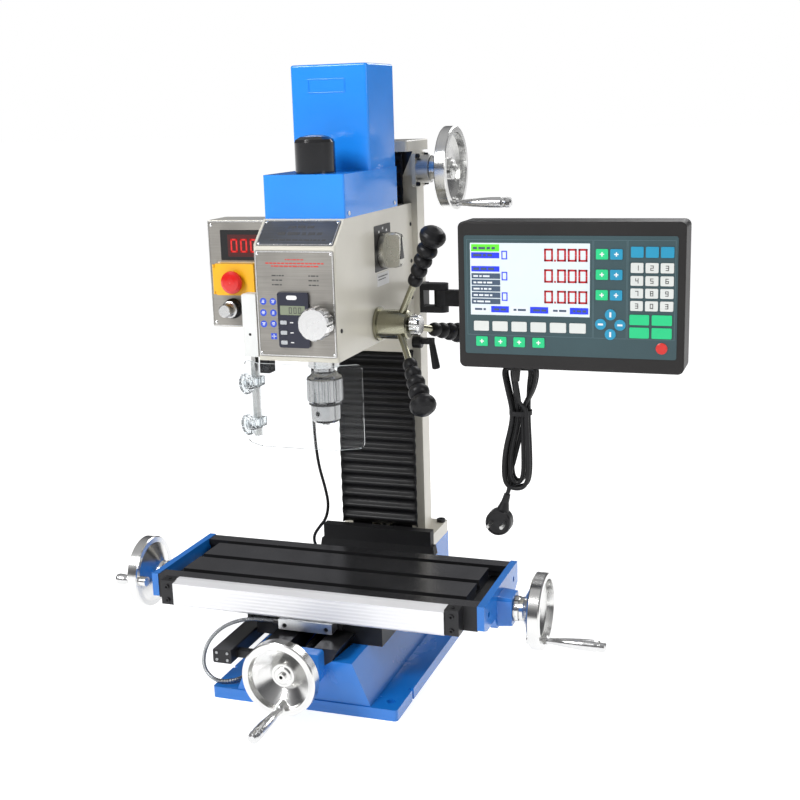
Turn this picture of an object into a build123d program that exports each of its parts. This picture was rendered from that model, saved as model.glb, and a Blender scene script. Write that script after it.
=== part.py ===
"""Bench-top vertical milling machine with a dovetail column, a cross table and a digital readout.

Millimetres. X runs along the table, Y from the operator towards the column, Z up.
The origin is the centre of the four base bolt holes, on the underside of the base.
"""
from build123d import *
from math import atan2, cos, degrees, radians, sin, tan
import os

os.makedirs("parts", exist_ok=True)

# ---------------------------------------------------------------- driving dimensions
run_gap = 0.05          # radial running clearance of shafts, and clearance of slideways
clear_gap = 0.3         # clearance between pieces that pass each other

base_width = 274.0
base_depth = 430.0
foot_thickness = 16.0
body_bottom_half = 99.0
body_top_half = 74.0
body_top_z = 75.0
way_height = 17.0
way_top_half = 55.0
dovetail_run = 10.0     # sideways undercut of every horizontal dovetail
bolt_hole_r = 6.0
bolt_edge = 17.0        # bolt hole to side edge of the foot
bolt_end = 25.0         # bolt hole to front or rear edge of the foot
pedestal_half = 80.0
pedestal_front = 90.0
pedestal_top = 122.0

table_length = 480.0
table_width = 180.0
table_top = 150.0
table_thickness = 35.0
table_rest_x = -7.0
table_centre_y = -65.0
slot_mouth = 12.0
slot_foot = 19.0
slot_mouth_depth = 9.0
slot_depth = 16.0
slot_pitch = 63.0
trough_width = 24.0
trough_depth = 18.0
end_plate_t = 10.0

saddle_length = 170.0
saddle_half = 95.0
saddle_way_half = 50.0
saddle_way_height = 12.0

x_screw_r = 8.0
x_screw_y = -68.0
x_screw_z = 117.5
x_wheel_r = 53.8
y_screw_r = 7.0
y_screw_z = 76.0
y_wheel_r = 52.0
z_screw_r = 8.0
z_screw_y = 135.0
z_wheel_z = 711.0
z_wheel_r = 61.0

column_half = 66.0
column_face = 137.0     # front of the column body, behind the dovetail
column_body_depth = 33.0
column_rear_half = 42.0
column_rear_depth = 40.0
column_wall = 10.0
column_top = 737.0
cap_thickness = 16.0
column_way_front = 121.0
column_way_half = 50.0
column_neck_half = 41.0
screw_slot_half = 17.0

head_half = 57.5
head_front = -175.0
head_bottom = 478.0
head_top = 661.0
carriage_bottom = 442.0
carriage_front = 92.0
nose_rise = 33.0        # height of the sloping name-plate face
nose_back = 38.0        # how far that face leans back
spindle_y = -89.0
quill_r = 30.0
quill_top = 588.0
quill_bottom = 466.0
spindle_r = 15.0
spline_r = 12.0
pulley_r = 34.0
motor_pulley_r = 14.0
motor_y = 21.5
belt_z = 671.0
belt_width = 14.0
belt_thickness = 3.0

cover_wall = 2.0
lower_cover_front = -134.0
tower_front = -32.0
cover_back = 75.0
lower_cover_top = 718.0
tower_top = 860.0
tower_half = 56.0

capstan_y = -25.0
capstan_z = 505.0
capstan_hub_r = 20.6
spoke_reach = 142.0
spoke_lean = 26.6       # degrees that each spoke leans away from the head
spoke_start = 104.9     # degrees of the first spoke, from +Y towards +Z

console_left = 200.0
console_width = 290.0
console_bottom = 465.0
console_height = 190.0
console_front = -105.0
console_depth = 50.0
arm_pivot_x = 97.0
arm_pivot_y = 150.0
arm_z = 517.0
arm_height = 24.0


# ---------------------------------------------------------------- shared makers
def write(piece, label):
    """Labels a finished piece and writes it as its own STEP file."""
    piece.label = label
    export_step(piece, f"parts/{label}.step")


def turning_plane(origin, axis, radial=(0, 0, 1)):
    """Plane whose local y runs along the axis and whose local x is a radius."""
    return Plane(origin=origin, x_dir=radial, z_dir=Vector(*radial).cross(Vector(*axis)))


def turned(origin, axis, profile, radial=(0, 0, 1)):
    """Solid of revolution from (radius, height) points."""
    plane = turning_plane(origin, axis, radial)
    with BuildPart() as blank:
        with BuildSketch(plane):
            with BuildLine():
                Polyline(*profile, close=True)
            make_face()
        revolve(axis=Axis(plane.origin, plane.y_dir))
    return blank.part


def rod(origin, axis, radius, length, radial=(0, 0, 1)):
    """Plain round bar from origin along axis."""
    return turned(origin, axis, [(0, 0), (radius, 0), (radius, length), (0, length)], radial)


def block(x_range, y_range, z_range):
    """Plain rectangular solid between two corners."""
    size_x = x_range[1] - x_range[0]
    size_y = y_range[1] - y_range[0]
    with BuildPart() as blank:
        with BuildSketch(Plane.XY.offset(z_range[0])):
            with Locations(((x_range[0] + x_range[1]) / 2, (y_range[0] + y_range[1]) / 2)):
                Rectangle(size_x, size_y)
        extrude(amount=z_range[1] - z_range[0])
    return blank.part


wheel_depth = 36.0
rim_width = 17.0
dial_length = 8.4
hub_length = 20.0
grip_inset = 10.5       # centre of the crank grip, in from the rim


def handwheel(origin, axis, rim_r, bore_r, grip_radial, depth=wheel_depth):
    """Dished handwheel with a square rim, a conical web, a hub and the pin of its crank grip."""
    hub_r = 17.0
    rim_wall = 9.0
    web = 5.0
    rim_inner = rim_r - rim_wall
    profile = [
        (bore_r, 0), (hub_r, 0), (hub_r + 1, 5), (rim_inner, depth - rim_width),
        (rim_r - 1.5, depth - rim_width), (rim_r, depth - rim_width + 1.5), (rim_r, depth - 1.5),
        (rim_r - 1.5, depth), (rim_inner, depth), (rim_inner - 1.5, depth - rim_width + web + 2),
        (hub_r - 1, 5 + web), (hub_r - 1, hub_length), (bore_r, hub_length),
    ]
    wheel = turned(origin, axis, profile, grip_radial)
    pin_foot = Vector(*origin) + Vector(*grip_radial) * (rim_r - grip_inset)
    web_height = 5 + web / 2
    boss = rod(pin_foot + Vector(*axis) * web_height, axis, 7.5, depth - web_height, grip_radial)
    pin = rod(pin_foot + Vector(*axis) * (depth - 4), axis, 3.0, 16.0, grip_radial)
    return wheel + boss + pin


def crank_grip(origin, axis, rim_r, grip_radial, depth=wheel_depth):
    """Revolving grip that turns on the handwheel's pin."""
    start = Vector(*origin) + Vector(*grip_radial) * (rim_r - grip_inset) + Vector(*axis) * (depth + clear_gap)
    bore = 3.0 + run_gap
    profile = [
        (bore, 0), (5.2, 0), (4.6, 3), (4.6, 8), (6.2, 22), (8.2, 50), (8.4, 66),
        (7.6, 70), (7.6, 72), (8.4, 74), (7.4, 80), (4.0, 82), (0, 82), (0, 12.5), (bore, 12.5),
    ]
    return turned(start, axis, profile, grip_radial)


def stub_grip(origin, axis, rim_r, grip_radial, depth=wheel_depth):
    """Short revolving knob in place of the long grip, on the same pin."""
    start = Vector(*origin) + Vector(*grip_radial) * (rim_r - grip_inset) + Vector(*axis) * (depth + clear_gap)
    bore = 3.0 + run_gap
    profile = [
        (bore, 0), (5.4, 0), (5.8, 3), (7.6, 8), (8.2, 14), (8.2, 18), (7.2, 21), (4.0, 22), (0, 22),
        (0, 12.5), (bore, 12.5),
    ]
    return turned(start, axis, profile, grip_radial)


# ---------------------------------------------------------------- base casting
base_front = -base_depth / 2
base_back = base_depth / 2
way_top = body_top_z + way_height
bolt_x = base_width / 2 - bolt_edge
bolt_y = base_depth / 2 - bolt_end
screw_trough_half = 20.0
notch_width = 6.0

with BuildPart() as base_casting:
    with BuildSketch():
        Rectangle(base_width, base_depth)
    extrude(amount=foot_thickness)
    foot_corners = base_casting.edges().filter_by(Axis.Z)
    fillet(foot_corners, radius=5)
    with BuildSketch(Plane.XZ.offset(-base_back + 2)):
        with BuildLine():
            Polyline(
                (-body_bottom_half, foot_thickness), (body_bottom_half, foot_thickness),
                (body_top_half, body_top_z), (way_top_half - dovetail_run, body_top_z),
                (way_top_half, way_top), (-way_top_half, way_top),
                (-way_top_half + dovetail_run, body_top_z), (-body_top_half, body_top_z),
                close=True,
            )
        make_face()
    extrude(amount=base_depth - 4)
    with BuildSketch(Plane.XY.offset(foot_thickness)):
        with Locations((0, (pedestal_front + base_back - 2) / 2)):
            Rectangle(2 * pedestal_half, base_back - 2 - pedestal_front)
    extrude(amount=pedestal_top - foot_thickness)
    # trough between the ways for the cross-feed screw and its nut
    with BuildSketch(Plane.XY.offset(way_top)):
        with Locations((0, (base_front + 70) / 2)):
            Rectangle(2 * screw_trough_half, 70 - base_front)
    extrude(amount=-34, mode=Mode.SUBTRACT)
    # notch in each side of the foot, behind the front lugs
    with BuildSketch():
        with Locations((base_width / 2, -148), (-base_width / 2, -148)):
            Rectangle(2 * notch_width, notch_width)
    extrude(amount=foot_thickness, mode=Mode.SUBTRACT)
    with Locations(Plane.XY.offset(foot_thickness)):
        with GridLocations(2 * bolt_x, 2 * bolt_y, 2, 2):
            Hole(bolt_hole_r, depth=foot_thickness)
write(base_casting.part, "base_casting")

# ---------------------------------------------------------------- column
flange_half = 80.0
flange_z = pedestal_top + 20
column_body_back = column_face + column_body_depth
column_back = column_body_back + column_rear_depth
gear_room_bottom = 686.0
gear_room_half = 21.0

with BuildPart() as column_casting:
    with BuildSketch(Plane.XY.offset(pedestal_top)):
        with Locations((0, (110 + column_back) / 2)):
            Rectangle(2 * flange_half, column_back - 110)
    extrude(amount=flange_z - pedestal_top)
    with BuildSketch(Plane.XY.offset(flange_z)):
        with Locations((0, column_face + column_body_depth / 2)):
            Rectangle(2 * column_half, column_body_depth)
        with Locations((0, column_body_back + column_rear_depth / 2)):
            Rectangle(2 * column_rear_half, column_rear_depth)
        with BuildLine():
            Polyline(
                (-column_way_half, column_way_front), (column_way_half, column_way_front),
                (column_neck_half, column_face), (-column_neck_half, column_face), close=True,
            )
        make_face()
        with Locations((0, (column_way_front + column_body_back) / 2)):
            Rectangle(2 * screw_slot_half, column_body_back - column_way_front, mode=Mode.SUBTRACT)
        with Locations((0, column_body_back - 0.5 + (column_rear_depth - column_wall) / 2)):
            Rectangle(
                2 * (column_rear_half - column_wall), column_rear_depth - column_wall + 1, mode=Mode.SUBTRACT
            )
    extrude(amount=column_top - flange_z)
    # solid upper block that carries the elevating gears
    with BuildSketch(Plane.XY.offset(702)):
        with Locations((0, (column_way_front + column_face) / 2)):
            Rectangle(2 * column_half, column_face - column_way_front)
    extrude(amount=column_top - 702)
    with BuildSketch(Plane.XY.offset(gear_room_bottom)):
        with Locations((4, (column_way_front + 156) / 2)):
            Rectangle(2 * gear_room_half, 156 - column_way_front)
    extrude(amount=column_top - gear_room_bottom, mode=Mode.SUBTRACT)
    with BuildSketch(Plane.YZ.offset(column_half)):
        with Locations((z_screw_y, z_wheel_z)):
            Circle(9.5)
    extrude(amount=-50, mode=Mode.SUBTRACT)
    with BuildSketch(Plane.XY.offset(flange_z)):
        with Locations((0, z_screw_y)):
            Circle(6 + run_gap)
    extrude(amount=-14, mode=Mode.SUBTRACT)

with BuildPart() as column_cap:
    with BuildSketch(Plane.XY.offset(column_top)):
        with Locations((0, (109 + column_back) / 2)):
            RectangleRounded(2 * (column_half - 4), column_back - 109, 4)
    extrude(amount=cap_thickness)
    chamfer(column_cap.faces().sort_by(Axis.Z)[-1].edges(), 1.5)
write(Compound(children=[column_casting.part, column_cap.part]), "column")

# rubber-faced foot block and its flared apron in front of the column
foot_block_top = 160.0
with BuildPart() as bellows_foot:
    with BuildSketch(Plane.XY.offset(pedestal_top)):
        with Locations((0, (pedestal_front + 108) / 2)):
            Rectangle(190, 108 - pedestal_front)
    extrude(amount=14, taper=8)
    with BuildSketch(Plane.XY.offset(pedestal_top + 14)):
        with Locations((0, (pedestal_front + 2 + 108) / 2)):
            Rectangle(178, 106 - pedestal_front)
    extrude(amount=foot_block_top - pedestal_top - 14)
write(bellows_foot.part, "bellows_foot")


def bellows(low_z, high_z, half_width, pleats):
    """Folded sheet in front of the column ways, closed at both ends of every pleat."""
    front = 107.5
    back = column_way_front - clear_gap
    fold = 7.0
    sheet = 2.0
    pitch = (high_z - low_z) / pleats
    outline = [(back, low_z)]
    for i in range(pleats):
        outline.append((front + fold, low_z + i * pitch))
        outline.append((front, low_z + (i + 0.5) * pitch))
    outline.append((front + fold, high_z))
    outline.append((back, high_z))
    outline.append((back, high_z - sheet))
    outline.append((front + fold + sheet, high_z - sheet))
    for i in reversed(range(pleats)):
        outline.append((front + sheet, low_z + (i + 0.5) * pitch))
        if i > 0:
            outline.append((front + fold + sheet, low_z + i * pitch))
    outline.append((front + fold + sheet, low_z + sheet))
    outline.append((back, low_z + sheet))
    with BuildPart() as folded:
        with BuildSketch(Plane.YZ.offset(-half_width)):
            with BuildLine():
                Polyline(*outline, close=True)
            make_face()
        extrude(amount=2 * half_width)
    return folded.part


write(bellows(foot_block_top, carriage_bottom - clear_gap, 62.0, 15), "lower_bellows")
write(bellows(head_top + clear_gap, column_top, 53.0, 4), "upper_bellows")

# ---------------------------------------------------------------- bearing housings and fixings on the frame
boss_end = 91.0
with BuildPart() as elevating_housing:
    with BuildSketch(Plane.YZ.offset(column_half)):
        with Locations((z_screw_y + 5, z_wheel_z - 1)):
            RectangleRounded(50, 50, 5)
    extrude(amount=6)
    with BuildSketch(Plane.YZ.offset(column_half + 6)):
        with Locations((z_screw_y, z_wheel_z)):
            Circle(20.5)
    extrude(amount=boss_end - column_half - 6)
    fillet(elevating_housing.faces().sort_by(Axis.X)[-1].edges(), 1.5)
    with BuildSketch(Plane.YZ.offset(column_half)):
        with Locations((z_screw_y, z_wheel_z)):
            Circle(8 + run_gap)
    extrude(amount=boss_end - column_half, mode=Mode.SUBTRACT)

y_block_front = base_front - 17
y_boss_length = 12.0
with BuildPart() as cross_feed_bearing:
    with BuildSketch(Plane.XZ.offset(-(base_front + 2))):
        with Locations((0, (50 + way_top - 1) / 2)):
            RectangleRounded(68, way_top - 1 - 50, 4)
    extrude(amount=base_front + 2 - y_block_front)
    with BuildSketch(Plane.XZ.offset(-y_block_front)):
        with Locations((0, y_screw_z)):
            Circle(19)
    extrude(amount=y_boss_length)
    with BuildSketch(Plane.XZ.offset(-(base_front + 2))):
        with Locations((0, y_screw_z)):
            Circle(y_screw_r + run_gap)
    extrude(amount=base_front + 2 - y_block_front + y_boss_length, mode=Mode.SUBTRACT)
write(Compound(children=[elevating_housing.part, cross_feed_bearing.part]), "feed_bearings")


def cap_screw(origin, axis, head_r=5.0, radial=(0, 0, 1)):
    """Socket-head cap screw head that stands on a face, with its hexagon socket as a round recess."""
    profile = [(0, 0), (head_r, 0), (head_r, 4.6), (head_r - 0.6, 5.2), (2.4, 5.2), (2.4, 2.2), (0, 2.2)]
    return turned(origin, axis, profile, radial)


column_screws = [cap_screw((x, y, flange_z), (0, 0, 1), 7.0, (1, 0, 0)) for x in (-73, 73) for y in (122, 198)]
housing_screws = [
    cap_screw((column_half + 6, z_screw_y + 5 + dy, z_wheel_z - 1 + dz), (1, 0, 0), 3.2)
    for dy in (-20.5, 20.5) for dz in (-20.5, 20.5)
]

# cable glands of the motor cable: column flank above, pedestal flank below
motor_cable_y = 150.0
motor_cable_top_z = 480.0
motor_cable_low_y = 121.0
motor_cable_low_z = 104.0
gland_profile = [(0, 0), (9, 0), (9, 4), (7, 4), (7, 11), (5.5, 14), (2.5, 14), (2.5, 9), (0, 9)]
upper_gland = turned((-column_half, motor_cable_y, motor_cable_top_z), (-1, 0, 0), gland_profile)
lower_gland = turned((-pedestal_half, motor_cable_low_y, motor_cable_low_z), (-1, 0, 0), gland_profile)
glands = [upper_gland, lower_gland]
write(Compound(children=column_screws + housing_screws + glands), "frame_fittings")

# ---------------------------------------------------------------- saddle
table_bottom = table_top - table_thickness
saddle_top = table_bottom - run_gap
saddle_low = body_top_z + run_gap
saddle_front = table_centre_y - saddle_length / 2
saddle_back = table_centre_y + saddle_length / 2
channel_half = 14.0
channel_floor = 104.0

with BuildPart() as saddle_casting:
    with BuildSketch(Plane.XY.offset(saddle_low)):
        with Locations((0, table_centre_y)):
            Rectangle(2 * saddle_half, saddle_length)
    extrude(amount=saddle_top - saddle_low)
    # male dovetail that carries the table
    with BuildSketch(Plane.YZ.offset(-saddle_half)):
        with BuildLine():
            Polyline(
                (table_centre_y - saddle_way_half + dovetail_run, saddle_top),
                (table_centre_y + saddle_way_half - dovetail_run, saddle_top),
                (table_centre_y + saddle_way_half, saddle_top + saddle_way_height),
                (table_centre_y - saddle_way_half, saddle_top + saddle_way_height), close=True,
            )
        make_face()
    extrude(amount=2 * saddle_half)
    # female dovetail on the base way
    with BuildSketch(Plane.XZ.offset(-saddle_front)):
        with BuildLine():
            Polyline(
                (-way_top_half + dovetail_run - clear_gap, saddle_low),
                (way_top_half - dovetail_run + clear_gap, saddle_low),
                (way_top_half + clear_gap, way_top + run_gap),
                (-way_top_half - clear_gap, way_top + run_gap), close=True,
            )
        make_face()
    extrude(amount=-saddle_length, mode=Mode.SUBTRACT)
    # channel for the table screw
    with BuildSketch(Plane.YZ.offset(-saddle_half)):
        with Locations((x_screw_y, channel_floor + 20)):
            Rectangle(2 * channel_half, 40)
    extrude(amount=2 * saddle_half, mode=Mode.SUBTRACT)
write(saddle_casting.part, "saddle_casting")

with BuildPart() as table_nut:
    with BuildSketch(Plane.YZ.offset(-18)):
        with Locations((x_screw_y, (channel_floor + x_screw_z + 12) / 2)):
            Rectangle(2 * (channel_half - 1), x_screw_z + 12 - channel_floor)
        with Locations((x_screw_y, x_screw_z)):
            Circle(x_screw_r + run_gap, mode=Mode.SUBTRACT)
    extrude(amount=36)
with BuildPart() as cross_nut:
    with BuildSketch(Plane.XZ.offset(-(table_centre_y - 15))):
        with Locations((0, (62 + way_top + run_gap) / 2)):
            Rectangle(32, way_top + run_gap - 62)
        with Locations((0, y_screw_z)):
            Circle(y_screw_r + run_gap, mode=Mode.SUBTRACT)
    extrude(amount=-30)
write(Compound(children=[table_nut.part, cross_nut.part]), "feed_nuts")

# ---------------------------------------------------------------- table
table_front = table_centre_y - table_width / 2
table_back = table_centre_y + table_width / 2
table_left = table_rest_x - table_length / 2
table_right = table_rest_x + table_length / 2

with BuildPart() as work_table:
    with BuildSketch(Plane.XY.offset(table_bottom)):
        with Locations((table_rest_x, table_centre_y)):
            Rectangle(table_length, table_width)
    extrude(amount=table_thickness)
    with BuildSketch(Plane.YZ.offset(table_left)):
        for row in (-1, 0, 1):
            with Locations((table_centre_y + row * slot_pitch, table_top - slot_mouth_depth / 2)):
                Rectangle(slot_mouth, slot_mouth_depth)
            with Locations(
                (table_centre_y + row * slot_pitch, table_top - (slot_mouth_depth + slot_depth) / 2)
            ):
                Rectangle(slot_foot, slot_depth - slot_mouth_depth)
    extrude(amount=table_length, mode=Mode.SUBTRACT)
    # coolant trough across each end
    with BuildSketch(Plane.XY.offset(table_top)):
        for side in (-1, 1):
            with Locations((table_rest_x + side * (table_length / 2 - trough_width / 2), table_centre_y)):
                Rectangle(trough_width, 2 * slot_pitch + slot_mouth)
    extrude(amount=-trough_depth, mode=Mode.SUBTRACT)
    # female dovetail and the room for the screw and its nut
    with BuildSketch(Plane.YZ.offset(table_left)):
        with BuildLine():
            Polyline(
                (table_centre_y - saddle_way_half + dovetail_run - clear_gap, table_bottom),
                (table_centre_y + saddle_way_half - dovetail_run + clear_gap, table_bottom),
                (table_centre_y + saddle_way_half + clear_gap, table_bottom + saddle_way_height + run_gap),
                (table_centre_y - saddle_way_half - clear_gap, table_bottom + saddle_way_height + run_gap),
                close=True,
            )
        make_face()
        with Locations((x_screw_y, table_bottom + 8)):
            Rectangle(2 * channel_half, 16)
    extrude(amount=table_length, mode=Mode.SUBTRACT)
write(work_table.part, "work_table")

bearing_boss = 30.0


def end_plate(side):
    """Cast plate on one end of the table, with the bearing boss of the table screw."""
    face = table_rest_x + side * table_length / 2
    with BuildPart() as plate:
        with BuildSketch(Plane.YZ.offset(face)):
            with BuildLine():
                Polyline(
                    (table_front - 1, table_top + 1), (table_front - 1, table_top - 33),
                    (table_front + 12, table_top - 38), (x_screw_y - 34, table_top - 38),
                    (x_screw_y - 20, x_screw_z - 24), (x_screw_y + 20, x_screw_z - 24),
                    (x_screw_y + 34, table_top - 38), (table_back - 12, table_top - 38),
                    (table_back + 2, table_top - 30), (table_back + 2, table_top + 1), close=True,
                )
            make_face()
        extrude(amount=side * end_plate_t)
        with BuildSketch(Plane.YZ.offset(face + side * end_plate_t)):
            with Locations((x_screw_y, x_screw_z)):
                RectangleRounded(44, 44, 6)
        extrude(amount=side * (bearing_boss - end_plate_t), taper=6)
        with BuildSketch(Plane.YZ.offset(face)):
            with Locations((x_screw_y, x_screw_z)):
                Circle(x_screw_r + run_gap)
            with Locations((table_front + 22, table_top - 18), (table_back - 22, table_top - 18)):
                Circle(4)
        extrude(amount=side * 40, mode=Mode.SUBTRACT)
    return plate.part


write(Compound(children=[end_plate(-1), end_plate(1)]), "table_end_plates")

# linear scale along the front of the table: aluminium extrusion between two end blocks
scale_left = -212.0
scale_right = 193.0
scale_depth = 22.0
scale_bottom = 113.0
scale_block = 20.0
with BuildPart() as table_scale:
    with BuildSketch(Plane.YZ.offset(scale_left)):
        with BuildLine():
            Polyline(
                (table_front, table_top), (table_front - 7, table_top), (table_front - scale_depth, 147),
                (table_front - scale_depth, scale_bottom + 3), (table_front - scale_depth + 3, scale_bottom),
                (table_front, scale_bottom), close=True,
            )
        make_face()
    extrude(amount=scale_right - scale_left)
with BuildPart() as scale_end_blocks:
    for low_x in (scale_left - scale_block, scale_right):
        with BuildSketch(Plane.YZ.offset(low_x)):
            with Locations((table_front - 10, (scale_bottom + 1 + table_top) / 2)):
                Rectangle(20, table_top - scale_bottom - 1)
        extrude(amount=scale_block)
write(Compound(children=[table_scale.part] + list(scale_end_blocks.solids())), "table_scale")

# reading heads of both scales, on the saddle
reader_plate_back = saddle_front
reader_top = scale_bottom - 0.6
y_scale_left = -125.0
y_scale_right = -97.0
y_reader_right = -saddle_half + 15
with BuildPart() as table_reader:
    with BuildSketch(Plane.XY.offset(97)):
        with Locations((-32, saddle_front - 5)):
            Rectangle(144, 10)
    extrude(amount=reader_top - 97)
    with BuildSketch(Plane.XY.offset(98)):
        with Locations((-7, saddle_front - 20)):
            Rectangle(80, 20)
    extrude(amount=reader_top - 98)
    with BuildSketch(Plane.XZ.offset(-(saddle_front - 30))):
        with Locations((-38, 104), (24, 104)):
            Circle(3.5)
    extrude(amount=-3, mode=Mode.SUBTRACT)
    with BuildSketch(Plane.YZ.offset(-47)):
        with Locations((-170, 105)):
            Circle(5.5)
    extrude(amount=-10)
with BuildPart() as cross_reader:
    with BuildSketch(Plane.XY.offset(58)):
        with Locations((-89.3, -62)):
            Rectangle(13.6, 36)
    extrude(amount=saddle_low - 58)
write(Compound(children=[table_reader.part, cross_reader.part]), "scale_readers")

def body_half_at(height):
    """Half width of the base body at a height, just outside its sloping side."""
    share = (height - foot_thickness) / (body_top_z - foot_thickness)
    return body_bottom_half + (body_top_half - body_bottom_half) * share + 0.1


# scale of the cross feed, on two brackets beside the base
with BuildPart() as cross_scale:
    with BuildSketch(Plane.XZ.offset(230)):
        with Locations(((y_scale_left + y_scale_right) / 2, 71)):
            RectangleRounded(y_scale_right - y_scale_left, 20, 2)
    extrude(amount=-262)
    for bracket_y in (-207, 26):
        with BuildSketch(Plane.XZ.offset(-bracket_y + 6)):
            with BuildLine():
                Polyline(
                    (y_scale_right - 1, 64), (-body_half_at(64), 64),
                    (-body_half_at(74), 74), (y_scale_right - 1, 74), close=True,
                )
            make_face()
        extrude(amount=-12)
write(cross_scale.part, "cross_scale")

# ---------------------------------------------------------------- table screw, handwheels and grips
end_float = 0.3
collar_gap = end_float
x_hub_right = table_right + bearing_boss + collar_gap + dial_length + collar_gap
x_hub_left = table_left - bearing_boss - collar_gap - dial_length - collar_gap


def dial(origin, axis, shaft_r, length=dial_length):
    """Graduated collar between a bearing boss and its handwheel."""
    profile = [(shaft_r + 0.02, 0), (17.5, 0), (18.0, 0.5), (18.0, length - 1.5), (16.5, length),
               (shaft_r + 0.02, length)]
    return turned(origin, axis, profile)


x_shaft = rod(
    (x_hub_left - hub_length, x_screw_y, x_screw_z), (1, 0, 0), x_screw_r,
    x_hub_right - x_hub_left + 2 * hub_length,
)
x_dial_right = dial((table_right + bearing_boss + collar_gap, x_screw_y, x_screw_z), (1, 0, 0), x_screw_r)
x_dial_left = dial((table_left - bearing_boss - collar_gap, x_screw_y, x_screw_z), (-1, 0, 0), x_screw_r)
write(Compound(children=[x_shaft, x_dial_left, x_dial_right]), "table_screw")

bore_fit = 0.02
right_hub = (x_hub_right, x_screw_y, x_screw_z)
left_hub = (x_hub_left, x_screw_y, x_screw_z)
x_wheel_right = handwheel(right_hub, (1, 0, 0), x_wheel_r, x_screw_r + bore_fit, (0, 0, -1))
x_wheel_left = handwheel(left_hub, (-1, 0, 0), x_wheel_r, x_screw_r + bore_fit, (0, -1, 0))
write(Compound(children=[x_wheel_right, x_wheel_left]), "table_handwheels")
write(crank_grip(right_hub, (1, 0, 0), x_wheel_r, (0, 0, -1)), "table_grip_right")
write(stub_grip(left_hub, (-1, 0, 0), x_wheel_r, (0, -1, 0)), "table_grip_left")

# ---------------------------------------------------------------- cross-feed screw, handwheel and grip
y_dial_front = y_block_front - y_boss_length - collar_gap
y_hub = (0, y_dial_front - dial_length - collar_gap, y_screw_z)
y_screw_back = 60.0
y_shaft = rod(
    (0, y_screw_back, y_screw_z), (0, -1, 0), y_screw_r, y_screw_back - y_hub[1] + hub_length
)
y_dial = dial((0, y_dial_front, y_screw_z), (0, -1, 0), y_screw_r)
write(Compound(children=[y_shaft, y_dial]), "cross_feed_screw")
write(handwheel(y_hub, (0, -1, 0), y_wheel_r, y_screw_r + bore_fit, (0, 0, -1)), "cross_feed_handwheel")
write(crank_grip(y_hub, (0, -1, 0), y_wheel_r, (0, 0, -1)), "cross_feed_grip")

# ---------------------------------------------------------------- elevating screw, bevel gears, handwheel and grip
bevel_r = 14.0
bevel_small_r = 6.0
bevel_hub_r = 10.0
bevel_back = 6.0
z_wheel_depth = 26.0
z_dial_length = 12.0
z_hub = (boss_end + collar_gap + z_dial_length + collar_gap, z_screw_y, z_wheel_z)


def bevel_profile(shaft_r, shaft_length):
    """Half section of a bevel gear whose cone points along the axis, with its shaft behind it."""
    cone_gap = 0.2
    return [
        (0, -bevel_small_r), (bevel_small_r - cone_gap, -bevel_small_r), (bevel_r - cone_gap, -bevel_r),
        (bevel_hub_r, -bevel_r), (bevel_hub_r, -bevel_r - bevel_back), (shaft_r, -bevel_r - bevel_back),
        (shaft_r, -shaft_length), (0, -shaft_length),
    ]


def toothed(blank, axis, teeth=14):
    """Cuts the tooth spaces into a bevel blank whose cone runs to the gears' common apex."""
    apex = Vector(0, z_screw_y, z_wheel_z)
    plane = Plane(origin=apex, z_dir=axis)
    cutters = []
    for i in range(teeth):
        turn = 360 * i / teeth
        cutter = Solid.make_box(bevel_r * 2, 1.6, 1.6, Plane((0, -0.8, -0.8)))
        cutter = cutter.rotate(Axis.Y, 45).rotate(Axis.Z, turn)
        cutters.append(plane.location * cutter)
    return blank - cutters


apex_point = (0, z_screw_y, z_wheel_z)
elevating_shaft = turned(apex_point, (-1, 0, 0), bevel_profile(x_screw_r, z_hub[0] + hub_length))
elevating_shaft = toothed(elevating_shaft, (-1, 0, 0))
z_dial = dial((boss_end + collar_gap, z_screw_y, z_wheel_z), (1, 0, 0), z_screw_r, z_dial_length)
write(Compound(children=[elevating_shaft, z_dial]), "elevating_shaft")
z_screw_foot = flange_z - 12
z_screw_shaft_length = z_wheel_z - flange_z - clear_gap
z_screw = turned(apex_point, (0, 0, 1), bevel_profile(z_screw_r, z_screw_shaft_length), (1, 0, 0))
z_screw = toothed(z_screw, (0, 0, 1))
z_journal = rod((0, z_screw_y, z_screw_foot), (0, 0, 1), 6.0, 14.0, (1, 0, 0))
write(z_screw + z_journal, "elevating_screw")
write(
    handwheel(z_hub, (1, 0, 0), z_wheel_r, z_screw_r + bore_fit, (0, 0, -1), z_wheel_depth), "elevating_handwheel"
)
write(crank_grip(z_hub, (1, 0, 0), z_wheel_r, (0, 0, -1), z_wheel_depth), "elevating_grip")

# ---------------------------------------------------------------- head casting and its nut
head_back = column_way_front - 0.5
cheek_back = column_face - 0.5
bearing_seat_z = 640.0
bearing_seat_r = 22.0
range_y = 5.0
range_z = 605.0
fine_x = 34.5
fine_z = 532.0
capstan_shaft_r = 8.0
lock_y = 128.0
lock_z = 451.0

dovetail_slope = (column_way_half - column_neck_half) / (column_face - column_way_front)
cheek_gap = 0.35


def way_edge(y):
    """Half width of the column dovetail at a depth, plus the clearance of the head's cheek."""
    return column_way_half - dovetail_slope * (y - column_way_front) + cheek_gap


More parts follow.
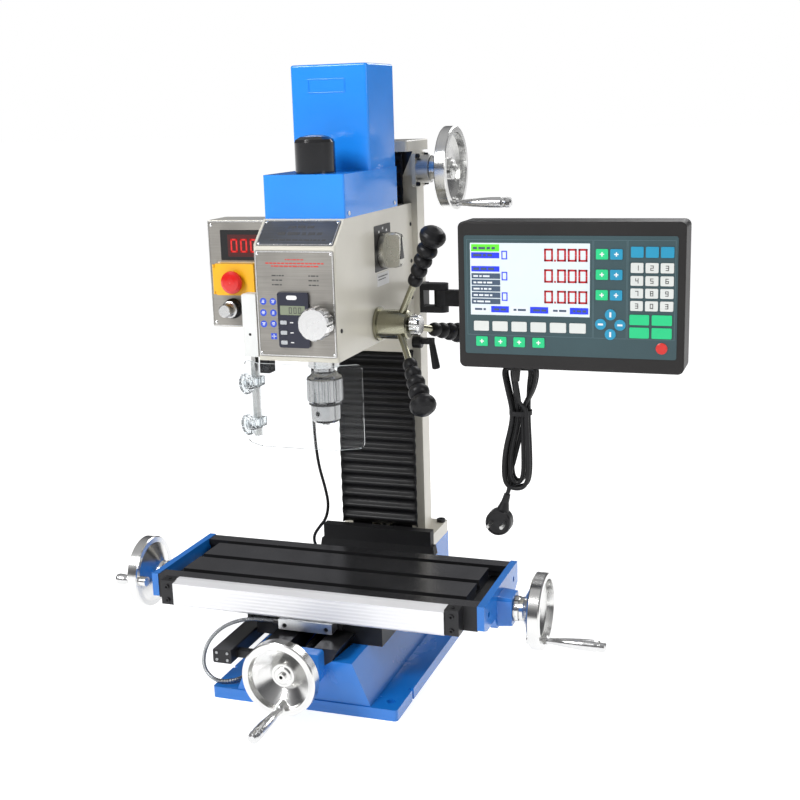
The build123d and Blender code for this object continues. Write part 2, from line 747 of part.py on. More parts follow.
with BuildPart() as head_casting:
    with BuildSketch(Plane.YZ.offset(-head_half)):
        with BuildLine():
            Polyline(
                (head_front, head_bottom), (head_front, head_top - nose_rise),
                (head_front + nose_back, head_top), (head_back, head_top), (head_back, carriage_bottom),
                (carriage_front, carriage_bottom), (carriage_front, head_bottom), close=True,
            )
        make_face()
    extrude(amount=2 * head_half)
    fillet(head_casting.edges().filter_by(Axis.Z).group_by(Axis.Y)[0], radius=4)
    with BuildSketch(Plane.XY.offset(carriage_bottom)):
        for side in (-1, 1):
            with BuildLine():
                Polyline(
                    (side * way_edge(head_back), head_back), (side * head_half, head_back),
                    (side * head_half, cheek_back), (side * way_edge(cheek_back), cheek_back), close=True,
                )
            make_face()
    extrude(amount=head_top - carriage_bottom)
    # quill bore, pulley bearing seat and the slot for the quill rack
    with BuildSketch(Plane.XY.offset(head_bottom)):
        with Locations((0, spindle_y)):
            Circle(quill_r + run_gap)
        with Locations((0, spindle_y + quill_r + 8)):
            Rectangle(16, 20)
    extrude(amount=bearing_seat_z - head_bottom, mode=Mode.SUBTRACT)
    with BuildSketch(Plane.XY.offset(bearing_seat_z)):
        with Locations((0, spindle_y)):
            Circle(bearing_seat_r + run_gap)
    extrude(amount=head_top - bearing_seat_z, mode=Mode.SUBTRACT)
    # hollow behind the quill
    with BuildSketch(Plane.XY.offset(head_bottom + 12)):
        with Locations((0, 17)):
            Rectangle(2 * (head_half - 12), 124)
    extrude(amount=head_top - head_bottom - 24, mode=Mode.SUBTRACT)
    with BuildSketch(Plane.YZ.offset(-10.5)):
        with Locations((capstan_y, capstan_z)):
            Circle(20.4)
    extrude(amount=21, mode=Mode.SUBTRACT)
    # cross bores: capstan shaft, range selector, head lock
    with BuildSketch(Plane.YZ.offset(head_half)):
        with Locations((capstan_y, capstan_z)):
            Circle(capstan_shaft_r + run_gap)
    extrude(amount=-head_half * 2 + 5, mode=Mode.SUBTRACT)
    with BuildSketch(Plane.YZ.offset(head_half)):
        with Locations((range_y, range_z)):
            Circle(6 + run_gap)
    extrude(amount=-12, mode=Mode.SUBTRACT)
    with BuildSketch(Plane.YZ.offset(head_half)):
        with Locations((lock_y, lock_z)):
            Circle(3 + run_gap)
    extrude(amount=-8, mode=Mode.SUBTRACT)
    with BuildSketch(Plane.XZ.offset(-head_front)):
        with Locations((fine_x, fine_z)):
            Circle(5 + run_gap)
    extrude(amount=-30, mode=Mode.SUBTRACT)
write(head_casting.part, "head_casting")

nut_low = 560.0
nut_height = 40.0
with BuildPart() as elevating_nut:
    with BuildSketch(Plane.XY.offset(nut_low)):
        with Locations((0, (head_back + z_screw_y + 14) / 2)):
            Rectangle(30, z_screw_y + 14 - head_back)
        with Locations((0, z_screw_y)):
            Circle(z_screw_r + run_gap, mode=Mode.SUBTRACT)
    extrude(amount=nut_height)
write(elevating_nut.part, "elevating_nut")

# ---------------------------------------------------------------- quill, spindle, chuck
pinion_pitch_r = 20.0
rack_low = 500.0
rack_face = capstan_y - pinion_pitch_r - clear_gap / 2
tooth_pitch = 6.0
with BuildPart() as quill:
    with BuildSketch(Plane.XY.offset(quill_bottom)):
        with Locations((0, spindle_y)):
            Circle(quill_r)
    extrude(amount=quill_top - quill_bottom)
    with BuildSketch(Plane.XY.offset(rack_low)):
        with Locations((0, (spindle_y + quill_r - 2 + rack_face) / 2)):
            Rectangle(12, rack_face - spindle_y - quill_r + 2)
    extrude(amount=quill_top - rack_low)
    with BuildSketch(Plane.YZ.offset(-6)):
        for i in range(14):
            with Locations((rack_face, rack_low + (i + 0.5) * tooth_pitch)):
                Rectangle(4, tooth_pitch / 2)
    extrude(amount=12, mode=Mode.SUBTRACT)
    with BuildSketch(Plane.XY.offset(quill_bottom)):
        with Locations((0, spindle_y)):
            Circle(spindle_r + run_gap)
    extrude(amount=quill_top - quill_bottom, mode=Mode.SUBTRACT)
write(quill.part, "quill")

nose_bottom = 455.0
arbor_r = 9.0
arbor_depth = 45.0
spindle = turned(
    (0, spindle_y, 0), (0, 0, 1),
    [
        (arbor_r + bore_fit, nose_bottom), (22, nose_bottom), (22, quill_bottom - clear_gap),
        (spindle_r, quill_bottom - clear_gap), (spindle_r, quill_top + 2), (spline_r, quill_top + 2),
        (spline_r, 755), (0, 755), (0, nose_bottom + arbor_depth), (arbor_r + bore_fit, nose_bottom + arbor_depth),
    ],
    (1, 0, 0),
)
write(spindle, "spindle")

chuck_bottom = 377.0
chuck_r = 25.0
with BuildPart() as drill_chuck:
    with BuildSketch(turning_plane((0, spindle_y, 0), (0, 0, 1), (1, 0, 0))):
        with BuildLine():
            Polyline(
                (0, 498), (arbor_r, 498), (arbor_r, 453), (14, 453), (14, 449), (17, 447), (20, 443),
                (chuck_r - 1, 440), (chuck_r, 438), (chuck_r, 408), (chuck_r - 2, 405), (chuck_r - 2, 402),
                (20.5, 401), (20.5, 381), (17, chuck_bottom), (9, chuck_bottom), (7, 384), (0, 384), close=True,
            )
        make_face()
    revolve(axis=Axis((0, spindle_y, 0), (0, 0, 1)))
    with BuildSketch(Plane.XY.offset(408)):
        with Locations((0, spindle_y)):
            with PolarLocations(chuck_r + 0.9, 20):
                Circle(2.0)
    extrude(amount=30, mode=Mode.SUBTRACT)
    for angle in (-100, 20, 140):
        reach = Vector(cos(radians(angle)), sin(radians(angle)), 0)
        with BuildSketch(Plane(Vector(0, spindle_y, 391) + reach * 21, z_dir=reach)):
            Circle(3.6)
        extrude(amount=-7, mode=Mode.SUBTRACT)
write(drill_chuck.part, "drill_chuck")

# ---------------------------------------------------------------- belt drive under the cover
flange_step = 3.0
belt_top = belt_z + belt_width
pulley_low = belt_z - 0.5
pulley_high = belt_top + 0.5
spindle_pulley = turned(
    (0, spindle_y, 0), (0, 0, 1),
    [
        (spline_r + run_gap, bearing_seat_z + 1), (bearing_seat_r, bearing_seat_z + 1),
        (bearing_seat_r, pulley_low - 2.5), (pulley_r + flange_step, pulley_low - 2.5),
        (pulley_r + flange_step, pulley_low), (pulley_r, pulley_low), (pulley_r, pulley_high),
        (pulley_r + flange_step, pulley_high), (pulley_r + flange_step, pulley_high + 2),
        (spline_r + run_gap, pulley_high + 2),
    ],
    (1, 0, 0),
)
write(spindle_pulley, "spindle_pulley")

motor_shaft_r = 7.0
motor_bottom = 694.0
motor_pulley = turned(
    (0, motor_y, 0), (0, 0, 1),
    [
        (0, pulley_low - 2.5), (motor_pulley_r + flange_step, pulley_low - 2.5),
        (motor_pulley_r + flange_step, pulley_low), (motor_pulley_r, pulley_low), (motor_pulley_r, pulley_high),
        (motor_pulley_r + flange_step, pulley_high), (motor_pulley_r + flange_step, pulley_high + 2),
        (motor_shaft_r, pulley_high + 2), (motor_shaft_r, motor_bottom + 14), (0, motor_bottom + 14),
    ],
    (1, 0, 0),
)
write(motor_pulley, "motor_pulley")

with BuildPart() as drive_belt:
    with BuildSketch(Plane.XY.offset(belt_z)) as belt_outline:
        with Locations((0, spindle_y)):
            Circle(pulley_r + clear_gap + belt_thickness)
        with Locations((0, motor_y)):
            Circle(motor_pulley_r + clear_gap + belt_thickness)
        make_hull()
    extrude(amount=belt_width)
    with BuildSketch(Plane.XY.offset(belt_z)) as belt_inside:
        with Locations((0, spindle_y)):
            Circle(pulley_r + clear_gap)
        with Locations((0, motor_y)):
            Circle(motor_pulley_r + clear_gap)
        make_hull()
    extrude(amount=belt_width, mode=Mode.SUBTRACT)
write(drive_belt.part, "drive_belt")

motor_r = 46.0
post_reach = 36.0
with BuildPart() as spindle_motor:
    with BuildSketch(Plane.XY.offset(motor_bottom)):
        with Locations((0, motor_y)):
            RectangleRounded(90, 90, 8)
    extrude(amount=7)
    with BuildSketch(Plane.XY.offset(motor_bottom + 7)):
        with Locations((0, motor_y)):
            Circle(motor_r)
    extrude(amount=tower_top - 14 - motor_bottom - 7)
    with BuildSketch(Plane.XY.offset(head_top)):
        with Locations((0, motor_y)):
            with GridLocations(2 * post_reach, 2 * post_reach, 2, 2):
                Circle(5)
    extrude(amount=motor_bottom - head_top)
    with BuildSketch(Plane.XY.offset(motor_bottom)):
        with Locations((0, motor_y)):
            Circle(motor_shaft_r + run_gap)
    extrude(amount=15, mode=Mode.SUBTRACT)
write(spindle_motor.part, "spindle_motor")

# stepped sheet-metal cover: low box over the pulleys, tower over the motor
cap_seat_r = 20.0
with BuildPart() as drive_cover:
    with BuildSketch(Plane.YZ.offset(-head_half)):
        with BuildLine():
            Polyline(
                (lower_cover_front, head_top), (lower_cover_front, lower_cover_top),
                (cover_back, lower_cover_top), (cover_back, head_top), close=True,
            )
        make_face()
    extrude(amount=2 * head_half)
    with BuildSketch(Plane.XY.offset(lower_cover_top)):
        with Locations((0, (tower_front + cover_back) / 2)):
            Rectangle(2 * tower_half, cover_back - tower_front)
    extrude(amount=tower_top - lower_cover_top)
    fillet(drive_cover.edges().filter_by(Axis.Z).filter_by(lambda e: e.center().Z > lower_cover_top), 4)
    fillet(drive_cover.edges().filter_by(Axis.Z).filter_by(lambda e: e.center().Z < lower_cover_top), 3)
    fillet(drive_cover.faces().sort_by(Axis.Z)[-1].edges(), 3)
    with BuildSketch(Plane.XY.offset(head_top)):
        with Locations((0, (lower_cover_front + cover_back) / 2)):
            Rectangle(2 * (head_half - cover_wall), cover_back - lower_cover_front - 2 * cover_wall)
    extrude(amount=lower_cover_top - head_top - cover_wall, mode=Mode.SUBTRACT)
    with BuildSketch(Plane.XY.offset(lower_cover_top - cover_wall)):
        with Locations((0, (tower_front + cover_back) / 2)):
            RectangleRounded(2 * (tower_half - cover_wall), cover_back - tower_front - 2 * cover_wall, 3)
    extrude(amount=tower_top - lower_cover_top, mode=Mode.SUBTRACT)
    with BuildSketch(Plane.XY.offset(lower_cover_top)):
        with Locations((0, spindle_y)):
            Circle(cap_seat_r)
    extrude(amount=-cover_wall, mode=Mode.SUBTRACT)
write(drive_cover.part, "drive_cover")

cap_r = 27.0
cap_top = 768.0
drawbar_cap = turned(
    (0, spindle_y, 0), (0, 0, 1),
    [
        (cap_r - 3, lower_cover_top), (cap_r, lower_cover_top), (cap_r, cap_top - 10), (cap_r - 2, cap_top - 6),
        (cap_r - 8, cap_top - 2.5), (cap_r - 16, cap_top - 0.5), (0, cap_top), (0, cap_top - 4),
        (cap_r - 12, cap_top - 5), (cap_r - 3, cap_top - 11),
    ],
    (1, 0, 0),
)
write(drawbar_cap, "drawbar_cap")

# ---------------------------------------------------------------- quill depth readout on the front of the head
readout_left = -24.0
readout_right = 19.5
readout_low = 497.0
readout_high = 570.0
readout_depth = 5.0
button_size = (9.0, 5.0)
button_travel = 1.2
button_places = [(-16.0, 530.4), (-16.0, 517.0), (-16.0, 504.0)]
readout_face = head_front - readout_depth
with BuildPart() as quill_readout:
    with BuildSketch(Plane.XZ.offset(-head_front)):
        with Locations(((readout_left + readout_right) / 2, (readout_low + readout_high) / 2)):
            RectangleRounded(readout_right - readout_left, readout_high - readout_low, 3)
    extrude(amount=readout_depth)
    with BuildSketch(Plane.XZ.offset(-readout_face)):
        with Locations(*button_places):
            Rectangle(button_size[0] + 2 * clear_gap, button_size[1] + 2 * clear_gap)
    extrude(amount=-3.5, mode=Mode.SUBTRACT)
    with BuildSketch(Plane.XZ.offset(-readout_face)):
        with Locations((-3, 546.4)):
            Rectangle(35.5, 12.7)
    extrude(amount=-0.6, mode=Mode.SUBTRACT)
write(quill_readout.part, "quill_readout")

for number, place in enumerate(button_places, start=1):
    with BuildPart() as button:
        with BuildSketch(Plane.XZ.offset(-readout_face - 2.0)):
            with Locations(place):
                RectangleRounded(button_size[0], button_size[1], 1)
        extrude(amount=3.2)
    write(button.part, f"readout_button_{number}")

# ---------------------------------------------------------------- knobs and levers of the head
knob_gap = 1.0


def scalloped(origin, axis, profile, radial, lobes, cutter_at, cutter_r, height):
    """Turned knob with round grooves milled along its rim."""
    plane = Plane(origin=origin, x_dir=radial, z_dir=axis)
    with BuildPart() as knob:
        add(turned(origin, axis, profile, radial))
        with BuildSketch(plane):
            with PolarLocations(cutter_at, lobes):
                Circle(cutter_r)
        extrude(amount=height, mode=Mode.SUBTRACT)
    return knob.part


fine_profile = [
    (0, -22), (5, -22), (5, 0.5), (12, 0.5), (12, 6), (19, 6), (22, 9), (22, 25), (20, 28), (0, 28),
]
fine_feed_knob = scalloped(
    (fine_x, head_front, fine_z), (0, -1, 0), fine_profile, (1, 0, 0), 10, 23.6, 4.0, 30
)
write(fine_feed_knob, "fine_feed_knob")

range_profile = [(0, -11), (6, -11), (6, 1), (25, 1), (25, 20), (23, 26), (19, 28), (0, 28.5)]
with BuildPart() as range_knob:
    add(turned((head_half, range_y, range_z), (1, 0, 0), range_profile))
    for side in (-1, 1):
        with BuildSketch(Plane.YZ.offset(head_half + 9)):
            with Locations((range_y + side * 22, range_z)):
                Rectangle(24, 60)
        extrude(amount=30, mode=Mode.SUBTRACT)
    with BuildSketch(Plane.YZ.offset(head_half + 9)):
        with Locations((range_y, range_z + 23)):
            Circle(1.2)
    extrude(amount=30, mode=Mode.SUBTRACT)
write(range_knob.part, "range_knob")

with BuildPart() as head_lock_lever:
    add(turned(
        (head_half, lock_y, lock_z), (1, 0, 0),
        [(0, -7), (3, -7), (3, 0.5), (9, 0.5), (9, 12), (8, 14), (0, 14)],
    ))
    with BuildSketch(Plane.XY.offset(lock_z - 2)):
        with Locations((head_half + 20, lock_y)):
            RectangleRounded(28, 9, 4)
    extrude(amount=9)
    with BuildSketch(Plane(origin=(head_half + 29, lock_y, lock_z + 3), x_dir=(1, 0, 0), z_dir=(0.16, 0, -1))):
        Circle(4.5)
    extrude(amount=44, taper=-2.5)
    fillet(head_lock_lever.faces().sort_by(Axis.Z)[0].edges(), 3)
write(head_lock_lever.part, "head_lock_lever")

# ---------------------------------------------------------------- capstan with three rubber grips
hub_face = head_half + 0.5
hub_end = 105.0
spoke_root_x = 86.7
spoke_r = 5.0
spoke_length = 90.0
grip_start = 68.0
spoke_frames = []
for index in range(3):
    swing = radians(spoke_start + 120 * index)
    lean = radians(spoke_lean)
    direction = Vector(sin(lean), cos(lean) * cos(swing), cos(lean) * sin(swing))
    side_way = Vector(0, -sin(swing), cos(swing))
    spoke_frames.append((direction, side_way))

with BuildPart() as capstan:
    add(turned(
        (0, capstan_y, capstan_z), (1, 0, 0),
        [
            (0, -52), (capstan_shaft_r, -52), (capstan_shaft_r, hub_face), (24, hub_face), (24, hub_face + 4),
            (capstan_hub_r, hub_face + 4), (capstan_hub_r, hub_end - 2), (capstan_hub_r - 2, hub_end),
            (4 + run_gap, hub_end), (4 + run_gap, 78), (0, 78),
        ],
    ))
    add(rod((-10, capstan_y, capstan_z), (1, 0, 0), pinion_pitch_r - 0.15, 20))
    for direction, side_way in spoke_frames:
        root = Vector(spoke_root_x, capstan_y, capstan_z) + direction * 12
        add(rod(root, direction, spoke_r, spoke_length - 12, side_way))
write(capstan.part, "capstan")

lobe_ends = [0, 15, 31, 47, 64, 92.5]
lobe_radii = [10.2, 11.6, 13.0, 14.6, 18.4]
groove_radii = [7.4, 7.6, 8.0, 8.6, 9.4, 0]
lobe_steps = 7
lobed = []
for index, lobe_r in enumerate(lobe_radii):
    for step in range(lobe_steps):
        share = step / lobe_steps
        low_r = groove_radii[index] * (1 - share) + groove_radii[index + 1] * share
        height = lobe_ends[index] + (lobe_ends[index + 1] - lobe_ends[index]) * share
        lobed.append((low_r + (lobe_r - low_r) * sin(radians(180 * share)) ** 0.6, height))
grips = []
for direction, side_way in spoke_frames:
    foot = Vector(spoke_root_x, capstan_y, capstan_z) + direction * grip_start
    bore = spoke_r + run_gap
    grips.append(turned(foot, direction, [(bore, 0), *lobed, (0, 92.5), (0, 23), (bore, 23)], side_way))
write(Compound(children=grips), "capstan_grips")

clutch_knob = scalloped(
    (hub_end, capstan_y, capstan_z), (1, 0, 0),
    [(0, -25), (4, -25), (4, knob_gap), (12, knob_gap), (14, 3), (14, 14), (12, 17), (0, 17)],
    (0, 0, 1), 8, 15.0, 3.0, 20,
)
write(clutch_knob, "clutch_knob")

# ---------------------------------------------------------------- control box on the left of the head
box_left = -175.0
box_front = -75.0
box_back = -20.0
box_low = 503.0
box_high = 654.0
box_wall = 2.5
speed_x = -140.5
speed_z = 530.0
lid_left = -160.0
lid_right = -98.0
lid_low = 551.0
lid_high = 595.0
lid_axis_y = box_front - 16.2
with BuildPart() as control_box:
    with BuildSketch(Plane.XZ.offset(-box_back)):
        with Locations(((box_left - head_half) / 2, (box_low + box_high) / 2)):
            RectangleRounded(-head_half - box_left, box_high - box_low, 3)
    extrude(amount=box_back - box_front)
    fillet(control_box.faces().sort_by(Axis.Y)[0].edges(), 1.2)
    with BuildSketch(Plane.XZ.offset(-box_back + box_wall)):
        with Locations(((box_left + box_wall - head_half) / 2, (box_low + box_high) / 2)):
            Rectangle(-head_half - box_left - box_wall, box_high - box_low - 2 * box_wall)
    extrude(amount=box_back - box_front - 2 * box_wall, mode=Mode.SUBTRACT)
    with BuildSketch(Plane.XZ.offset(-box_front)):
        with Locations((speed_x, speed_z)):
            Circle(3 + run_gap)
    extrude(amount=-box_wall, mode=Mode.SUBTRACT)
    with BuildSketch(Plane.XZ.offset(-box_front)):
        with Locations((-116.5, 619.2)):
            Rectangle(77, 42.5)
    extrude(amount=-1, mode=Mode.SUBTRACT)
with BuildPart() as switch_housing:
    with BuildSketch(Plane.XZ.offset(-box_front)):
        with Locations(((lid_left + lid_right) / 2, (lid_low + lid_high) / 2)):
            RectangleRounded(lid_right - lid_left, lid_high - lid_low, 3)
    extrude(amount=14)
    with BuildSketch(Plane.XY.offset(lid_low + 1)):
        with Locations((lid_left, lid_axis_y)):
            Circle(1.8)
        with Locations((lid_left, lid_axis_y + 1.2)):
            Rectangle(3.6, 2.4)
    extrude(amount=4)
    with BuildSketch(Plane.XY.offset(lid_high - 5)):
        with Locations((lid_left, lid_axis_y)):
            Circle(1.8)
        with Locations((lid_left, lid_axis_y + 1.2)):
            Rectangle(3.6, 2.4)
    extrude(amount=4)
write(Compound(children=[control_box.part, switch_housing.part]), "control_box")

with BuildPart() as switch_lid:
    with BuildSketch(Plane.XZ.offset(-(lid_axis_y + 1.8))):
        with Locations(((lid_left + 2.5 + lid_right) / 2, (lid_low + lid_high) / 2)):
            RectangleRounded(lid_right - lid_left - 2.5, lid_high - lid_low, 3)
    extrude(amount=3.6)
    with BuildSketch(Plane.XY.offset(lid_low + 5.4)):
        with Locations((lid_left, lid_axis_y)):
            Circle(1.8)
        with Locations((lid_left + 2, lid_axis_y)):
            Rectangle(4, 3.6)
    extrude(amount=lid_high - lid_low - 10.8)
    add(turned(
        (-129, lid_axis_y - 1.8, 570), (0, -1, 0),
        [(0, 0), (9, 0), (9, 3), (15, 4), (16, 6), (15.5, 9), (12, 11.5), (6, 12.6), (0, 13)], (1, 0, 0),
    ))
write(switch_lid.part, "switch_lid")

speed_knob = turned(
    (speed_x, box_front, speed_z), (0, -1, 0),
    [
        (0, -9), (3, -9), (3, 0.5), (14, 0.5), (14, 4), (12, 6), (12, 14), (10, 15), (9, 16), (9, 29),
        (8, 30), (0, 30),
    ],
    (1, 0, 0),
)
write(speed_knob, "speed_knob")

# ---------------------------------------------------------------- guard on a hexagon rod
rod_x = -68.0
rod_y = -165.0
rod_low = 372.0
guard_mount_low = 482.0
rod_hex_r = 5.5
shield_low = 363.0
shield_high = 476.0
with BuildPart() as guard_mount:
    with BuildSketch(Plane.XY.offset(guard_mount_low)):
        with Locations(((-78 - head_half) / 2, rod_y)):
            Rectangle(78 - head_half, 20)
    extrude(amount=566 - guard_mount_low)
    chamfer(guard_mount.faces().sort_by(Axis.Z)[-1].edges(), 1.5)
    with BuildSketch(Plane.XY.offset(rod_low)):
        with Locations((rod_x, rod_y)):
            RegularPolygon(rod_hex_r, 6)
    extrude(amount=guard_mount_low - rod_low)
with BuildPart() as interlock:
    with BuildSketch(Plane.XY.offset(460)):
        with Locations((-50, -164)):
            Rectangle(14, 18)
    extrude(amount=head_bottom - 460)
write(Compound(children=[guard_mount.part, interlock.part]), "guard_mount")

with BuildPart() as guard_shield:
    with BuildSketch(Plane.XY.offset(shield_low)):
        with BuildLine():
            Polyline(
                (-83, -168), (-53, -188), (53, -188), (87, -168), (85.479, -165.414), (52.18, -185),
                (-52.09, -185), (-81.336, -165.504), close=True,
            )
        make_face()
    extrude(amount=shield_high - shield_low)
    guard_corners = guard_shield.edges().filter_by(lambda e: abs(e.center().X) > 80 and e.length < 4)
    fillet(guard_corners.filter_by(lambda e: abs(e.tangent_at(0).Z) < 0.1), 8)
write(guard_shield.part, "guard_shield")

clamps = []
knob_way = Vector(-0.5547, -0.83205, 0)
for clamp_z in (391.0, 447.0):
    with BuildPart() as clamp:
        with BuildSketch(Plane.XY.offset(clamp_z - 6)):
            with BuildLine():
                Polyline((-77, -156), (-59, -156), (-59, -180.3), (-77, -168.3), close=True)
            make_face()
            with Locations((rod_x, rod_y)):
                Circle(rod_hex_r + run_gap, mode=Mode.SUBTRACT)
        extrude(amount=12)
    clamps.append(clamp.part)
    knob_foot = Vector(-68, -178.1, clamp_z)
    clamps.append(scalloped(
        knob_foot, knob_way,
        [(0, 0), (7, 0), (7, 3), (12.5, 3), (14, 5), (14, 11), (12, 13), (0, 13)], (0, 0, 1), 7, 16, 4.5, 16,
    ))
write(Compound(children=clamps), "guard_clamps")

# ---------------------------------------------------------------- digital readout: bracket, arm and console
arm_low = arm_z - arm_height / 2
arm_high = arm_z + arm_height / 2
pin_r = 5.0
knuckle_r = 11.0
lug_t = 10.0
tilt_x = 345.0
tilt_y = -38.0
with BuildPart() as dro_bracket:
    with BuildSketch(Plane.XY.offset(arm_low - lug_t)):
        with Locations((column_half + 3, arm_pivot_y + 3)):
            Rectangle(6, 28)
        with Locations(((column_half + arm_pivot_x) / 2, arm_pivot_y)):
            Rectangle(arm_pivot_x - column_half, 2 * knuckle_r)
        with Locations((arm_pivot_x, arm_pivot_y)):
            Circle(knuckle_r)
    extrude(amount=arm_height + 2 * lug_t)
    with BuildSketch(Plane.XY.offset(arm_low - clear_gap)):
        with Locations((column_half + 6 + 25, arm_pivot_y)):
            Rectangle(50, 40)
        with Locations((arm_pivot_x, arm_pivot_y)):
            Circle(pin_r, mode=Mode.SUBTRACT)
    extrude(amount=arm_height + 2 * clear_gap, mode=Mode.SUBTRACT)
write(dro_bracket.part, "dro_bracket")

arm_path = [(arm_pivot_x, arm_pivot_y), (195, 146), (tilt_x, 60), (tilt_x, tilt_y)]
arm_half = 7.0
with BuildPart() as dro_arm:
    with BuildSketch(Plane.XY.offset(arm_low)):
        with BuildLine():
            FilletPolyline(*arm_path, radius=24)
        trace(line_width=2 * arm_half)
        with Locations((arm_pivot_x, arm_pivot_y)):
            Circle(knuckle_r)
        with Locations((arm_pivot_x, arm_pivot_y)):
            Circle(pin_r + run_gap, mode=Mode.SUBTRACT)
    extrude(amount=arm_height)
    with BuildSketch(Plane.YZ.offset(tilt_x - 12)):
        with Locations((tilt_y, arm_z)):
            Circle(12)
    extrude(amount=24)
    with BuildSketch(Plane.YZ.offset(tilt_x - 26)):
        with Locations((tilt_y, arm_z)):
            Circle(pin_r)
    extrude(amount=52)
write(dro_arm.part, "dro_arm")

console_right = console_left + console_width
console_high = console_bottom + console_height
console_back = console_front + console_depth
lead_x = 272.0
lead_y = -88.0
relief_low = console_bottom - 20
with BuildPart() as dro_console:
    with BuildSketch(Plane.XZ.offset(-console_back)):
        with Locations(((console_left + console_right) / 2, (console_bottom + console_high) / 2)):
            RectangleRounded(console_width, console_height, 8)
    extrude(amount=console_depth)
    fillet(dro_console.faces().sort_by(Axis.Y)[0].edges(), 2.5)
    for lug_x in (tilt_x - 22.3, tilt_x + 12.3):
        with BuildSketch(Plane.YZ.offset(lug_x)):
            with Locations((tilt_y, arm_z)):
                Circle(12)
            with Locations(((tilt_y + console_back) / 2, arm_z)):
                Rectangle(tilt_y - console_back, 24)
            with Locations((tilt_y, arm_z)):
                Circle(pin_r + run_gap, mode=Mode.SUBTRACT)
        extrude(amount=10)
    add(turned(
        (lead_x, lead_y, console_bottom), (0, 0, -1), [(0, 0), (7.5, 0), (7.5, 4), (6, 5), (4.4, 20), (0, 20)],
        (1, 0, 0),
    ))
write(dro_console.part, "dro_console")

# mains lead of the readout: folded into a hank under the console, its plug hanging beside it
lead_d = 6.0
hank_y = -66.0
with BuildPart() as dro_lead_hank:
    with BuildSketch(Plane.XZ.offset(-(hank_y + 13))):
        with BuildLine():
            Polyline(
                (247, 462), (299, 462), (295, 435), (288, 405), (286, 385), (288, 345), (288, 304), (280, 290),
                (254, 290), (246, 303), (249, 345), (259, 385), (259, 405), (252, 435), close=True,
            )
        make_face()
    extrude(amount=26)
write(dro_lead_hank.part, "dro_lead_hank")


def tube(points, diameter, name):
    """Round tube along straight runs joined by tangent arcs."""
    vectors = [Vector(*p) for p in points]
    radii = []
    for i in range(1, len(vectors) - 1):
        before = vectors[i] - vectors[i - 1]
        after = vectors[i + 1] - vectors[i]
        turn = radians(before.get_angle(after))
        radii.append(0.45 * min(before.length, after.length) / tan(turn / 2))
    with BuildPart() as swept:
        with BuildLine() as path:
            FilletPolyline(*points, radius=radii)
        with BuildSketch(Plane(origin=vectors[0], z_dir=vectors[1] - vectors[0])):
            Circle(diameter / 2)
        sweep(transition=Transition.RIGHT)
    path_length = sum(edge.length for edge in path.edges())
    expected = path_length * 3.141593 * diameter ** 2 / 4
    print(name, "length", round(path_length, 1), "volume share", round(swept.part.volume / expected, 4))
    print("  radii", [round(r, 1) for r in radii], "runs", [
        round((vectors[i + 1] - vectors[i]).length, 1) for i in range(len(vectors) - 1)
    ])
    return swept.part


plug_x = 242.0
plug_z = 243.0
neck_top = (253, hank_y, 282)
lead_route = [neck_top, (255.2, hank_y, 289.8), (256.4, hank_y, 298), (256.4, hank_y, 309)]
stub_route = [
    (lead_x, lead_y, relief_low), (lead_x, lead_y, relief_low - 11), (lead_x + 0.5, lead_y + 2.5, relief_low - 22),
    (lead_x + 1, lead_y + 9, relief_low - 33), (lead_x + 1, lead_y + 17, relief_low - 43),
]
lead_stub = tube(stub_route, lead_d, "dro_lead_stub")
lead_tail = tube(lead_route, lead_d, "dro_lead")
write(Compound(children=[lead_stub, lead_tail]), "dro_lead")

with BuildPart() as dro_plug:
    add(turned(
        (plug_x, hank_y + 13, plug_z), (0, -1, 0),
        [(0, 0), (13, 0), (16.5, 3), (18, 8), (18, 22), (17, 26), (15.5, 26), (15.5, 24.5), (0, 24.5)],
    ))
    neck_foot = Vector(plug_x, hank_y, plug_z)
    neck_way = Vector(*neck_top) - neck_foot
    add(turned(
        neck_foot, neck_way.normalized(),
        [(0, 0), (9, 0), (8.4, 18), (5.4, neck_way.length - 12), (4.4, neck_way.length), (0, neck_way.length)],
        (0, 1, 0),
    ))
    for side in (-1, 1):
        add(rod((plug_x + side * 9.5, hank_y - 11, plug_z), (0, -1, 0), 2.4, 19.5))
write(dro_plug.part, "dro_plug")

# ---------------------------------------------------------------- cables fixed at both ends
motor_cable_route = [
    (-80, 150, 480), (-95, 150, 480), (-107, 143, 468), (-110, 134, 447), (-111, 127, 418), (-109.5, 122, 380),
    (-110.5, 121, 332), (-109.5, 120.5, 291), (-106, 121, 248), (-96, 121.5, 210), (-91, 121, 182),
    (-97, 121, 157), (-110, 121, 142), (-120, 121, 127), (-118, 121, 111), (-107, 121, 104), (-94, 121, 104),
]
write(tube(motor_cable_route, 5.0, "motor_cable"), "motor_cable")
reader_cable_route = [
    (-57, -170, 105), (-80, -170, 105), (-105, -175, 104), (-130, -184, 95), (-148, -193, 78), (-156, -200, 57),
    (-155, -204, 36), (-140, -204.5, 20.5), (-118, -204, 20.5), (-102, -189, 21.5), (-101, -167, 27),
    (-97, -143, 39), (-93, -119, 53), (-89.3, -98, 66.5), (-89.3, -80, 66.5),
]
write(tube(reader_cable_route, 6.0, "reader_cable"), "reader_cable")
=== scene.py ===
import bpy
import bmesh
import math
from mathutils import Vector, Matrix


